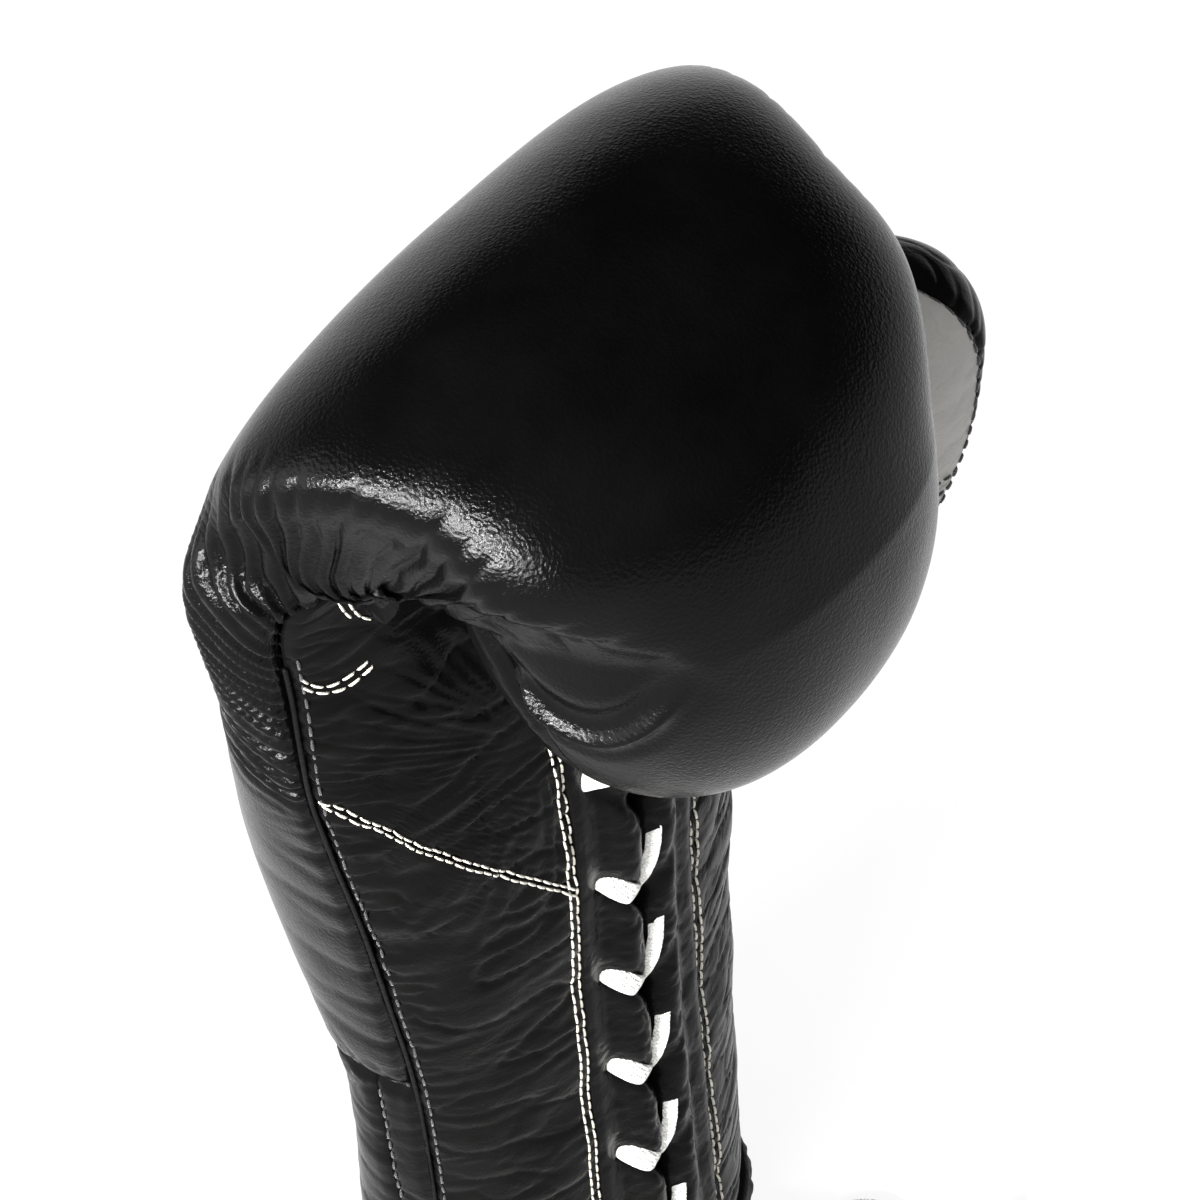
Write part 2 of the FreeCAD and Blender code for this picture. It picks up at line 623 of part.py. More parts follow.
os.makedirs("parts", exist_ok=True)
for name, shape in build().items():
    shape.exportStep(f"parts/{name}.step")
    print(f"{name}: {len(shape.Solids)} solids, {shape.Volume / 1000:.1f} cm3, valid {shape.isValid()}")
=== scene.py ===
"""Looks of a laced, black leather boxing glove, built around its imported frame."""
from __future__ import annotations

import logging
import math
from dataclasses import dataclass, field
from enum import Enum
from typing import Callable, Sequence

import bmesh
import bpy
import numpy as np
from mathutils import Matrix, Vector


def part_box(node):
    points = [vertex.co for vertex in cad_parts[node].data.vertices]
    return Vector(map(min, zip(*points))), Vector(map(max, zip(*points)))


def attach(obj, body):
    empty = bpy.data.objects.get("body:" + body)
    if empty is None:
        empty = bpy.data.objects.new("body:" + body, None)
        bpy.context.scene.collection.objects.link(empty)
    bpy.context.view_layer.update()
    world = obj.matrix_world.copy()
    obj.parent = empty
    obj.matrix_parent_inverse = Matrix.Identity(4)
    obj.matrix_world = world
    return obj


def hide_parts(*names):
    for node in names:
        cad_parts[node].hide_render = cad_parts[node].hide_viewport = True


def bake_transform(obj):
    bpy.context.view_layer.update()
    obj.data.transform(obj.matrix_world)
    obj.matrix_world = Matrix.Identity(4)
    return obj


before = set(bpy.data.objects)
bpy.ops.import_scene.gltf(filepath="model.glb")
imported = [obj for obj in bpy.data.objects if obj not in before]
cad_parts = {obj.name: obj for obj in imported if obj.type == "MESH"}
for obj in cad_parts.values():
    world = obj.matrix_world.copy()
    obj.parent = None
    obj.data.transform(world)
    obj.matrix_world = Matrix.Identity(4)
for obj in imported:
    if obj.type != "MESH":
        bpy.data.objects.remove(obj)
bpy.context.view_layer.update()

LOG = logging.getLogger("glove")
MM = 0.001
HAND = "glove"
Array = np.ndarray


# ---------------------------------------------------------------- helpers

def smooth_step(low: float, high: float, value: Array) -> Array:
    """A smooth rise from 0 at low to 1 at high."""
    share = np.clip((value - low) / (high - low), 0.0, 1.0)
    return share * share * (3.0 - 2.0 * share)


def bell(value: Array, width: float) -> Array:
    """A bell of the given half width, 1 at its middle."""
    return np.exp(-(value / width) ** 2)


def unit(vectors: Array) -> Array:
    """Vectors scaled to length 1."""
    length = np.linalg.norm(vectors, axis=-1, keepdims=True)
    return vectors / np.maximum(length, 1e-9)


def run_along(points: Array) -> Array:
    """The length run so far at each point of a line."""
    return np.concatenate([[0.0], np.cumsum(np.linalg.norm(np.diff(points, axis=0), axis=1))])


def oval(corners: int, half_width: float, half_height: float, square: float = 1.0) -> Array:
    """An oval section.

    Args: corners: its count of points. half_width, half_height: its size. square: less
    than 1 for straighter flanks. Returns: (corners, 2).
    """
    angles = np.linspace(0, 2 * math.pi, corners + 1)[:-1]
    across = np.sign(np.cos(angles)) * np.abs(np.cos(angles)) ** square
    return np.stack([half_width * across, half_height * np.sin(angles)], -1)


class Noise:
    """Smooth gradient noise in three dimensions, the same on every run."""

    def __init__(self, seed: int) -> None:
        """Args: seed: picks the pattern."""
        rng = np.random.default_rng(seed)
        self.order = rng.permutation(512)
        self.slopes = unit(rng.normal(size=(512, 3)))

    def __call__(self, points: Array) -> Array:
        """Args: points: (..., 3). Returns: values of about -1 to 1."""
        cell = np.floor(points).astype(int)
        local = points - cell
        ease = local * local * local * (local * (local * 6 - 15) + 10)
        total = np.zeros(points.shape[:-1])
        for corner in range(8):
            bits = np.array([corner & 1, corner >> 1 & 1, corner >> 2 & 1])
            spot = (cell + bits) & 511
            mixed = self.order[(self.order[(self.order[spot[..., 0]] + spot[..., 1]) & 511]
                                + spot[..., 2]) & 511]
            weight = np.prod(np.where(bits, ease, 1 - ease), axis=-1)
            total += weight * np.sum(self.slopes[mixed] * (local - bits), axis=-1)
        return total * 1.6


def deselect_all() -> None:
    """Leaves nothing selected, in object mode."""
    if bpy.context.object and bpy.context.object.mode != "OBJECT":
        bpy.ops.object.mode_set(mode="OBJECT")
    bpy.ops.object.select_all(action="DESELECT")


def mesh_object(name: str, points: Array, faces: Sequence[Sequence[int]],
                smooth: bool = True) -> bpy.types.Object:
    """A mesh object from points in millimetres.

    Args: name: the piece's name. points: (n, 3). faces: point numbers. smooth: shading.
    Returns: the linked object, at the origin.
    """
    mesh = bpy.data.meshes.new(name)
    mesh.from_pydata((np.asarray(points) * MM).tolist(), [], [list(f) for f in faces])
    mesh.validate()
    bm = bmesh.new()
    bm.from_mesh(mesh)
    bmesh.ops.remove_doubles(bm, verts=bm.verts, dist=0.00002)
    bm.to_mesh(mesh)
    bm.free()
    if smooth:
        mesh.shade_smooth()
    piece = bpy.data.objects.new(name, mesh)
    bpy.context.scene.collection.objects.link(piece)
    return piece


def grid_faces(rows: int, columns: int, start: int = 0, flip: bool = False) -> list[list[int]]:
    """Quads of a grid of points stored row by row."""
    faces = []
    for row in range(rows - 1):
        for column in range(columns - 1):
            a = start + row * columns + column
            quad = [a, a + 1, a + columns + 1, a + columns]
            faces.append(quad[::-1] if flip else quad)
    return faces


def shell_object(name: str, outer: Array, inner: Array) -> bpy.types.Object:
    """A closed sheet of leather between two grids of points of the same shape.

    Args: name: the piece's name. outer, inner: (rows, columns, 3).
    Returns: the object.
    """
    rows, columns, _ = outer.shape
    points = np.concatenate([outer.reshape(-1, 3), inner.reshape(-1, 3)])
    offset = rows * columns
    faces = grid_faces(rows, columns) + grid_faces(rows, columns, offset, True)
    loop = [(0, c) for c in range(columns)]
    loop += [(r, columns - 1) for r in range(1, rows)]
    loop += [(rows - 1, c) for c in range(columns - 2, -1, -1)]
    loop += [(r, 0) for r in range(rows - 2, 0, -1)]
    edge = [r * columns + c for r, c in loop]
    for a, b in zip(edge, edge[1:] + edge[:1]):
        faces.append([a, a + offset, b + offset, b])
    return mesh_object(name, points, faces)


def tube_grid(path: Array, ups: Array, outline: Array) -> Array:
    """Rings of an outline swept along a path.

    Args: path: (n, 3). ups: (n, 3), the outline's second axis. outline: (m, 2).
    Returns: (n, m, 3).
    """
    along = unit(np.gradient(path, axis=0))
    up = unit(ups - along * np.sum(ups * along, axis=1, keepdims=True))
    side = np.cross(up, along)
    return (path[:, None] + outline[None, :, :1] * side[:, None]
            + outline[None, :, 1:] * up[:, None])


def sweep(name: str, rings: Array) -> bpy.types.Object:
    """A closed tube through rings of points, with domed ends."""
    count, size, _ = rings.shape
    faces = []
    for row in range(count - 1):
        for column in range(size):
            a = row * size + column
            b = row * size + (column + 1) % size
            faces.append([a, a + size, b + size, b])
    points = rings.reshape(-1, 3)
    ends = []
    for row, step in ((0, 1), (count - 1, -1)):
        middle = rings[row].mean(0)
        beyond = middle - rings[row + step].mean(0)
        reach = np.linalg.norm(rings[row] - middle, axis=1).min() * 0.6
        dome = middle + (rings[row] - middle) * 0.72 + unit(beyond) * reach * 0.6
        ends.append((row, dome, middle + unit(beyond) * reach))
    for row, dome, tip in ends:
        base = len(points)
        points = np.concatenate([points, dome, tip[None]])
        for column in range(size):
            after = (column + 1) % size
            a, b = row * size + column, row * size + after
            c, d = base + after, base + column
            quad = [a, b, c, d]
            cap = [d, c, base + size]
            faces.append(quad if row == 0 else quad[::-1])
            faces.append(cap if row == 0 else cap[::-1])
    return mesh_object(name, points, faces)


def joined(name: str, pieces: Sequence[bpy.types.Object]) -> bpy.types.Object:
    """Several loose objects as one piece."""
    deselect_all()
    for piece in pieces:
        piece.select_set(True)
    bpy.context.view_layer.objects.active = pieces[0]
    bpy.ops.object.join()
    result = bpy.context.view_layer.objects.active
    result.name = name
    result.data.name = name
    return result


def dress(piece: bpy.types.Object, material: bpy.types.Material,
          replaces: Sequence[str] = (), body: str = HAND) -> bpy.types.Object:
    """Gives a piece its material, its body and the CAD nodes it stands for.

    Args: replaces: the nodes. body: what it rides, or "" for a piece that rides no body. Returns: the
    piece.
    """
    piece.data.materials.clear()
    piece.data.materials.append(material)
    if body:
        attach(piece, body)
    if replaces:
        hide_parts(*replaces)
    LOG.info("%s: %d faces", piece.name, len(getattr(piece.data, "polygons", [])))
    return piece


# ---------------------------------------------------------------- finishes

class Graph:
    """A material's node tree, with short calls for the nodes it uses."""

    def __init__(self, name: str) -> None:
        """Args: name: the material's name."""
        self.material = bpy.data.materials.new(name)
        self.material.use_nodes = True
        self.tree = self.material.node_tree
        self.shader = self.tree.nodes["Principled BSDF"]
        self.place = self.tree.nodes.new("ShaderNodeTexCoord").outputs["Object"]

    def node(self, kind: str, **values: object) -> bpy.types.Node:
        """A node; values are attributes or input sockets by name, _ for a space."""
        made = self.tree.nodes.new("ShaderNode" + kind)
        for key, value in values.items():
            if hasattr(made, key):
                setattr(made, key, value)
            else:
                self.feed(made.inputs[key.replace("_", " ")], value)
        return made

    def feed(self, socket: bpy.types.NodeSocket, value: object) -> None:
        """Links an output to a socket, or sets its value."""
        if isinstance(value, bpy.types.NodeSocket):
            self.tree.links.new(value, socket)
        else:
            socket.default_value = value

    def stretched(self, scale: tuple[float, float, float]) -> bpy.types.NodeSocket:
        """Object coordinates scaled by axis."""
        return self.node("Mapping", Vector=self.place, Scale=scale).outputs["Vector"]

    def noise(self, scale: float, detail: float = 3.0, rough: float = 0.55,
              where: object = None, warp: float = 0.0) -> bpy.types.NodeSocket:
        """Noise of a scale per metre."""
        made = self.node("TexNoise", Scale=scale, Detail=detail, Roughness=rough,
                         Distortion=warp, Vector=where or self.place)
        return made.outputs["Fac"]

    def range(self, value: object, low: float, high: float, to_low: float,
              to_high: float) -> bpy.types.NodeSocket:
        """A value mapped from one range to another, clamped."""
        made = self.node("MapRange", Value=value)
        for key, number in (("From Min", low), ("From Max", high),
                            ("To Min", to_low), ("To Max", to_high)):
            made.inputs[key].default_value = number
        return made.outputs["Result"]

    def bump(self, height: object, distance: float, strength: float,
             before: object = None) -> bpy.types.NodeSocket:
        """A bump of a height in metres, over an earlier bump."""
        made = self.node("Bump", Height=height, Distance=distance, Strength=strength)
        if before is not None:
            self.feed(made.inputs["Normal"], before)
        return made.outputs["Normal"]

    def mix(self, share: object, first: Sequence[float],
            second: Sequence[float]) -> bpy.types.NodeSocket:
        """A colour between two, by share."""
        made = self.node("Mix", data_type="RGBA")
        self.feed(made.inputs[0], share)
        made.inputs[6].default_value = (*first, 1.0)
        made.inputs[7].default_value = (*second, 1.0)
        return made.outputs[2]


TONES, PATCHES, PEBBLES, PORES = 38.0, 90.0, 1450.0, 2600.0     # per metre


@dataclass(frozen=True)
class Leather:
    """Finished leather: a fine pebble, drawn creases and a gloss."""

    name: str
    colour: tuple[float, float, float]
    worn: tuple[float, float, float]
    roughness: float = 0.3
    spread: float = 0.08
    coat: float = 0.25
    grain: float = 0.5
    crease: float = 0.35
    crease_scale: float = 260.0
    shine: float = 0.28

    def material(self) -> bpy.types.Material:
        """The leather's material."""
        graph = Graph(self.name)
        shader = graph.shader
        tone = graph.noise(TONES, 4.0, 0.6)
        graph.feed(shader.inputs["Base Color"],
                   graph.mix(graph.range(tone, 0.35, 0.75, 0.0, 1.0), self.colour, self.worn))
        patch = graph.noise(PATCHES, 5.0, 0.62)
        rough = graph.range(patch, 0.3, 0.72, self.roughness - self.spread,
                            self.roughness + self.spread)
        graph.feed(shader.inputs["Roughness"], rough)
        pebble = graph.node("TexVoronoi", Scale=PEBBLES, Vector=graph.place)
        pebble.feature = "SMOOTH_F1"
        pebble.inputs["Smoothness"].default_value = 0.6
        pores = graph.noise(PORES, 3.0, 0.6)
        normal = graph.bump(pebble.outputs["Distance"], 0.00012, self.grain)
        normal = graph.bump(pores, 0.00010, self.grain, normal)
        if self.crease > 0:
            wide = graph.noise(self.crease_scale, 3.0, 0.5,
                               graph.stretched((0.6, 0.8, 1.2)), 1.0)
            normal = graph.bump(wide, 0.0012, self.crease, normal)
        graph.feed(shader.inputs["Normal"], normal)
        shader.inputs["Specular IOR Level"].default_value = self.shine
        shader.inputs["Coat Weight"].default_value = self.coat
        shader.inputs["Coat Roughness"].default_value = 0.16
        return graph.material


@dataclass(frozen=True)
class Cloth:
    """Woven cotton or lining: crossed threads, a little fuzz and no gloss."""

    name: str
    colour: tuple[float, float, float]
    shade: tuple[float, float, float]
    threads: float = 1100.0
    roughness: float = 0.8
    height: float = 0.0002

    def material(self) -> bpy.types.Material:
        """The cloth's material."""
        graph = Graph(self.name)
        shader = graph.shader
        turned = graph.node("Mapping", Vector=graph.place)
        turned.inputs["Rotation"].default_value = (0.3, 0.5, math.radians(40))
        ribs = []
        for axis in ("X", "Y", "Z"):
            wave = graph.node("TexWave", Scale=self.threads / 3.1, Vector=turned.outputs["Vector"])
            wave.bands_direction = axis
            wave.inputs["Distortion"].default_value = 1.2
            wave.inputs["Detail"].default_value = 2.0
            ribs.append(wave.outputs["Fac"])
        fuzz = graph.noise(self.threads * 0.9, 4.0, 0.7)
        share = graph.range(fuzz, 0.3, 0.75, 0.0, 1.0)
        graph.feed(shader.inputs["Base Color"], graph.mix(share, self.colour, self.shade))
        graph.feed(shader.inputs["Roughness"],
                   graph.range(fuzz, 0.2, 0.8, self.roughness - 0.1, self.roughness + 0.12))
        normal = graph.bump(ribs[0], self.height, 0.6)
        for rib in ribs[1:]:
            normal = graph.bump(rib, self.height, 0.6, normal)
        normal = graph.bump(fuzz, self.height, 0.7, normal)
        graph.feed(shader.inputs["Normal"], normal)
        shader.inputs["Sheen Weight"].default_value = 0.25
        return graph.material


def finish(kind: type, *values: object) -> bpy.types.Material:
    """A field that makes its material from a kind of finish and its values."""
    return field(default_factory=lambda: kind(*values).material())


@dataclass
class Finishes:
    """Every finish on the glove."""

    knuckle: bpy.types.Material = finish(
        Leather, "knuckle leather", (0.0010, 0.0010, 0.0011), (0.0022, 0.0022, 0.0023),
        0.19, 0.04, 0.0, 0.55, 0.04, 60.0, 0.105)
    body: bpy.types.Material = finish(
        Leather, "body leather", (0.0018, 0.0018, 0.0018), (0.0042, 0.0041, 0.0040),
        0.20, 0.05, 0.0, 0.35, 0.18, 90.0, 0.035)
    inner_thumb: bpy.types.Material = finish(
        Leather, "pale thumb leather", (0.24, 0.235, 0.225), (0.29, 0.283, 0.268),
        0.5, 0.08, 0.1, 0.6, 0.35, 300.0)
    welt: bpy.types.Material = finish(
        Leather, "piping leather", (0.002, 0.002, 0.002), (0.005, 0.005, 0.005),
        0.45, 0.08, 0.0, 0.5, 0.3, 500.0, 0.08)
    lining: bpy.types.Material = finish(
        Cloth, "lining cloth", (0.03, 0.03, 0.033), (0.05, 0.05, 0.055), 900.0)
    lace: bpy.types.Material = finish(
        Cloth, "lace cotton", (0.88, 0.87, 0.84), (0.70, 0.69, 0.66), 1500.0, 0.75, 0.00022)
    thread: bpy.types.Material = finish(
        Cloth, "seam thread", (0.62, 0.59, 0.51), (0.42, 0.40, 0.34), 3200.0, 0.6, 0.00008)
    black_thread: bpy.types.Material = finish(
        Cloth, "black thread", (0.008, 0.008, 0.008), (0.02, 0.02, 0.02), 3200.0, 0.5, 0.00008)
    aglet: bpy.types.Material = finish(
        Leather, "aglet film", (0.55, 0.54, 0.51), (0.63, 0.62, 0.60),
        0.25, 0.06, 0.3, 0.1, 0.0)
    bar: bpy.types.Material = finish(
        Cloth, "bar wrap", (0.035, 0.035, 0.038), (0.06, 0.06, 0.065), 800.0)


# ---------------------------------------------------------------- the glove's form

LEVELS = ((0.0, 43.3, 29.8, 29.2), (28.0, 43.3, 29.3, 28.9), (66.0, 44.4, 24.0, 27.8),
          (99.0, 46.1, 20.2, 27.1), (132.0, 49.4, 30.8, 27.1), (169.0, 54.2, 35.0, 28.0),
          (210.0, 59.8, 28.5, 22.8))
FAN = ((0.0, 63.7, 36.0, 2.6), (30.0, 62.2, 37.2, 1.5), (60.0, 62.2, 42.1, -1.0),
       (90.0, 57.8, 48.0, -3.5), (120.0, 53.1, 51.0, -3.5), (150.0, 51.6, 56.5, -0.5),
       (175.0, 42.9, 60.7, 3.5))
HOLLOW_LEVELS = ((0.0, 33.8, 20.8, 20.0), (28.0, 33.4, 20.0, 20.0), (66.0, 34.0, 15.0, 19.2),
                 (99.0, 35.0, 12.0, 18.6), (132.0, 38.0, 17.0, 19.0), (169.0, 42.0, 19.0, 20.0),
                 (210.0, 45.0, 12.5, 15.5))
HOLLOW_FAN = ((0.0, 46.0, 26.5, 8.0), (30.0, 46.0, 27.0, 8.0), (60.0, 46.0, 27.0, 8.0),
              (90.0, 44.0, 27.0, 8.0), (120.0, 42.0, 27.0, 9.0), (150.0, 40.0, 28.0, 11.0),
              (175.0, 36.0, 28.5, 12.5))
CURL_Y, CURL_Z = -17.8, 248.0
SPINE = 24.4
TURN_RATE = 0.785           # travel per degree of curl
FINGER_DROP = 52.0
CREASE = 112.0              # the wrist's
CURL_START = 190.0
FOLD_START = 262.0          # the palm is out of sight from here on
TIP_REACH = 22.0            # of the fingertips' close rows
RIM = 1.3                   # the leather's lower edge
LINE_X = 15.6               # the plackets' seams
SEAM_TRAVEL = (0, 60, 84, 115, 139, 168, 187, 202, 226, 236, 248, 271.5, 295, 318.6, 342.2,
               365.8, 377.5, 385.4, 392, 400, 437.4)
SEAM_OFFSET = (-8.5, -9.0, -9.2, -9.9, -9.2, -8.4, -6.8, -6.2, -9.8, -12.2, -15.6, -19.6, -22.6,
               -24.2, -24.2, -21.8, -16.0, -8.4, -3.8, -1.8, -0.5)


def through(knots: Array, values: Array, at: Array) -> Array:
    """A smooth curve through values at knots."""
    slopes = np.gradient(values, knots, axis=0)
    index = np.clip(np.searchsorted(knots, at, side="right") - 1, 0, len(knots) - 2)
    span = knots[index + 1] - knots[index]
    t = np.clip((at - knots[index]) / span, 0.0, 1.0)
    if values.ndim > 1:
        t, span = t[..., None], span[..., None]
    a, b = values[index], values[index + 1]
    m, n = slopes[index] * span, slopes[index + 1] * span
    return ((2 * t ** 3 - 3 * t ** 2 + 1) * a + (t ** 3 - 2 * t ** 2 + t) * m
            + (3 * t ** 2 - 2 * t ** 3) * b + (t ** 3 - t ** 2) * n)


@dataclass
class Form:
    """A bent tube: up the cuff and the hand, then round the curl to the fingertips.

    A place on it is a travel s along the tube and a turn u round it: 0 on the
    thumb's side, a quarter turn at the back, half a turn on the other side and
    three quarters at the palm.
    """

    levels: tuple = LEVELS
    fan: tuple = FAN
    middle_spine: bool = True
    drop: float = FINGER_DROP
    power: float = 2.35
    inner_power: float = 3.8    # squarer inside the curl
    tip_power: float = 2.4

    def __post_init__(self) -> None:
        """Lists the sections by travel."""
        rows = [(s, 0.0, s, 0.0, a, back, palm) for s, a, back, palm in self.levels]
        for degrees, a, outer, inner in self.fan:
            spine = SPINE if self.middle_spine else (outer + inner) / 2
            turn = math.radians(degrees)
            rows.append((CURL_Z + TURN_RATE * degrees, CURL_Y + spine * math.cos(turn),
                         CURL_Z + spine * math.sin(turn), turn, a, outer - spine, spine - inner))
        table = np.array(rows)
        self.knots, self.rows = table[:, 0], table[:, 1:]
        self.last = float(self.knots[-1])
        self.end = self.last + self.drop

    def at(self, s: Array) -> tuple[Array, ...]:
        """Centre y and z, turn, half width and the two reaches of the sections at s."""
        s = np.asarray(s, float)
        rows = through(self.knots, self.rows, np.minimum(s, self.last))
        t = np.clip((s - self.last) / self.drop, 0.0, 0.9999)
        size = (1 - t ** self.tip_power) ** (1 / self.tip_power)
        turn = rows[..., 2]
        travel = t * self.drop
        return (rows[..., 0] - np.sin(turn) * travel, rows[..., 1] + np.cos(turn) * travel,
                turn, rows[..., 3] * size, rows[..., 4] * size, rows[..., 5] * size)

    def palm_power(self, s: Array) -> Array:
        """The power of the sections' palm side."""
        s = np.asarray(s, float)
        inside = smooth_step(222.0, 256.0, s) * smooth_step(412.0, 384.0, s)
        return self.power + (self.inner_power - self.power) * inside

    def point(self, s: Array, u: Array) -> Array:
        """The form's points at travel s and turn u."""
        y, z, turn, a, back, palm = self.at(s)
        across, along = np.cos(u), np.sin(u)
        power = np.where(along >= 0, self.power, self.palm_power(s))
        swell = (np.abs(across) ** power + np.abs(along) ** power) ** (-1 / power)
        offset = np.where(along >= 0, back, palm) * swell * along
        return np.stack([a * swell * across, y + offset * np.cos(turn),
                         z + offset * np.sin(turn)], -1)

    def normal(self, s: Array, u: Array) -> Array:
        """Outward normals at s and u."""
        s = np.clip(s, 0.3, self.end - 0.4)
        round_it = self.point(s, u + 0.004) - self.point(s, u - 0.004)
        up_it = self.point(s + 0.3, u) - self.point(s - 0.3, u)
        return unit(np.cross(round_it, up_it))

    def turn_at_offset(self, s: Array, offset: Array) -> Array:
        """The turn, on the side away from the thumb, of an offset from the centre."""
        *_, back, palm = self.at(s)
        share = np.clip(offset / np.where(offset >= 0, back, palm), -0.99, 0.99)
        power = np.where(offset >= 0, self.power, self.palm_power(s))
        across = -(1 - np.abs(share) ** power) ** (1 / power)
        return np.arctan2(share, across) % (2 * math.pi)

    def turn_at_x(self, s: Array, x: float, palm_side: bool = True) -> Array:
        """The turn at a distance x from the middle, on the palm or on the back."""
        width = self.at(s)[3]
        share = np.clip(x / width, -0.5, 0.5)
        power = self.palm_power(s) if palm_side else self.power
        along = (1 - np.abs(share) ** power) ** (1 / power)
        return np.arctan2(-along if palm_side else along, share) % (2 * math.pi)

    def y_at(self, x: Array, z: Array) -> Array:
        """Y of the palm side below the curl."""
        *_, a, _, palm = self.at(z)
        share = np.clip(np.abs(x) / a, 0, 0.98)
        return -palm * (1 - share ** self.power) ** (1 / self.power)


FORM = Form()
HOLLOW = Form(HOLLOW_LEVELS, HOLLOW_FAN, False, 30.0)


def side_seam(s: Array) -> Array:
    """The side seam's turn, away from the thumb."""
    s = np.asarray(s, float)
    offset = through(np.array(SEAM_TRAVEL, float), np.array(SEAM_OFFSET, float), s)
    shrink = FORM.at(s)[5] / np.maximum(FORM.at(np.minimum(s, FORM.last))[5], 1e-6)
    return FORM.turn_at_offset(s, offset * shrink)


def thumb_seam(s: Array) -> Array:
    """The side seam's turn on the thumb's side, past a whole turn."""
    return 3 * math.pi - side_seam(s)


def heel_line(share: Array) -> Array:
    """Travel of the heel seam, by share from the side seam to the placket."""
    return through(np.array([0.0, 0.07, 0.2, 0.36, 0.55, 1.0]),
                   np.array([202.5, 201.4, 195.6, 185.3, 174.6, 151.3]), np.asarray(share, float))


@dataclass(frozen=True)
class Gathers:
    """Folds that a seam draws up across its own length."""

    start: float
    stop: float
    pitch: float
    depth: float
    reach: float
    width: float
    seed: int
    skew: float = 0.05

    def relief(self, s: Array, away: Array, stretch: Array) -> Array:
        """Heights of the folds.

        Args: s: travel along the seam. away: distance from it. stretch: length of
        surface per unit of travel. Returns: heights, at most 0.
        """
        rng = np.random.default_rng(self.seed)
        height = np.zeros(s.shape)
        place = self.start
        while place < self.stop:
            depth = self.depth * rng.uniform(0.45, 1.25)
            reach = self.reach * rng.uniform(0.5, 1.2)
            lean = rng.normal(0, self.skew)
            bend, phase = rng.uniform(0.0, 0.9), rng.uniform(0, 6.28)
            near = (np.abs(s - place) < self.pitch * 3) & (away < reach)
            if near.any():
                d = away[near]
                gap = (s[near] - place - lean * d - bend * np.sin(d / 5.0 + phase)) * stretch[near]
                wide = self.width * (0.6 + 0.9 * d / self.reach)
                room = np.clip(self.pitch * stretch[near] / 4.6, 0.2, 1.0)
                fall = (1 - d / reach) ** 0.9
                height[near] -= depth * room * fall * np.exp(-np.abs(gap) / wide)
            place += self.pitch * rng.uniform(0.6, 1.4)
        return height


@dataclass(frozen=True)
class Pleats:
    """Folds side by side, that fan out from the seam's loop to the rim of the fist."""

    count: int
    steep: float
    reach: float
    seed: int
    start: float = 198.0
    stop: float = 380.0
    rim_stop: float = 364.0

    def relief(self, s: Array, away: Array, stretch: Array) -> Array:
        """Heights of the folds: round ridges with sharp valleys between them.

        Args: s: travel. away: distance from the seam. stretch: length of surface per
        unit of travel. Returns: heights, at most 0.
        """
        rng = np.random.default_rng(self.seed)
        along = np.arange(self.start, self.stop, 0.5)
        line = FORM.point(along, side_seam(along))
        run = run_along(line)
        part = np.clip(away / WALL_REACH, 0, 1) ** 0.7
        inner = np.interp(s, along, run / run[-1])
        outer = (s - self.start) / (self.rim_stop - self.start)
        place = self.count * (inner * (1 - part) + outer * part)
        wander = np.stack([place * 0.45, away / 11.0, 0 * place + self.seed], -1)
        place = place + 0.42 * SWELL(wander)
        index = np.clip(np.floor(place + 0.5), 0, self.count + 1).astype(int)
        deep = rng.uniform(0.45, 1.25, self.count + 2)[index]
        reach = self.reach * rng.uniform(0.62, 1.1, self.count + 2)[index]
        gap = (run[-1] * (1 - part) + (self.rim_stop - self.start) * stretch * part) / self.count
        fall = np.clip(1 - away / reach, 0, 1) ** 0.6 * smooth_step(47.0, 31.0, away)
        valley = 1 - np.abs(np.sin(np.pi * place)) ** 0.62
        ends = smooth_step(self.start - 4, self.start + 10, s) \
            * smooth_step(self.stop + 8, self.stop - 6, s)
        return -self.steep * np.clip(gap, 1.0, 6.0) * deep * fall * valley * ends


class Side(Enum):
    """The two sides of the glove."""

    PINKY = -1
    THUMB = 1

    @property
    def label(self) -> str:
        """The side's word in the names of pieces."""
        return self.name.lower()


SWELL = Noise(3)
FOLDS = Noise(11)
RIPPLE = Noise(29)
WALL_REACH = 40.0           # from the seam loop out to the rim of the fist
PLEATS = Pleats(29, 0.70, 58.0, 7)
FINE_PLEATS = Pleats(63, 0.26, 26.0, 9)
FINE_GATHERS = Gathers(192.0, 236.0, 3.4, 1.0, 17.0, 0.75, 17, 0.1)
SEAM_PUCKERS = Gathers(4.0, 232.0, 3.5, 0.55, 13.0, 0.95, 23, 0.12)
SEAM_FOLDS = Gathers(10.0, 230.0, 11.0, 0.8, 26.0, 1.7, 31, 0.2)
EDGE_PUCKERS = Gathers(10.0, 186.0, 4.3, 0.3, 9.0, 1.0, 37, 0.25)


def creases(points: Array, seed_noise: Noise, scale: Sequence[float], amount: float) -> Array:
    """Sharp valleys with soft ridges between them, drawn out along one way."""
    field_value = seed_noise(points * np.array(scale))
    field_value = field_value + 0.45 * seed_noise(points * np.array(scale) * 2.1 + 17.0)
    return -amount * np.exp(-np.abs(field_value) / 0.09)


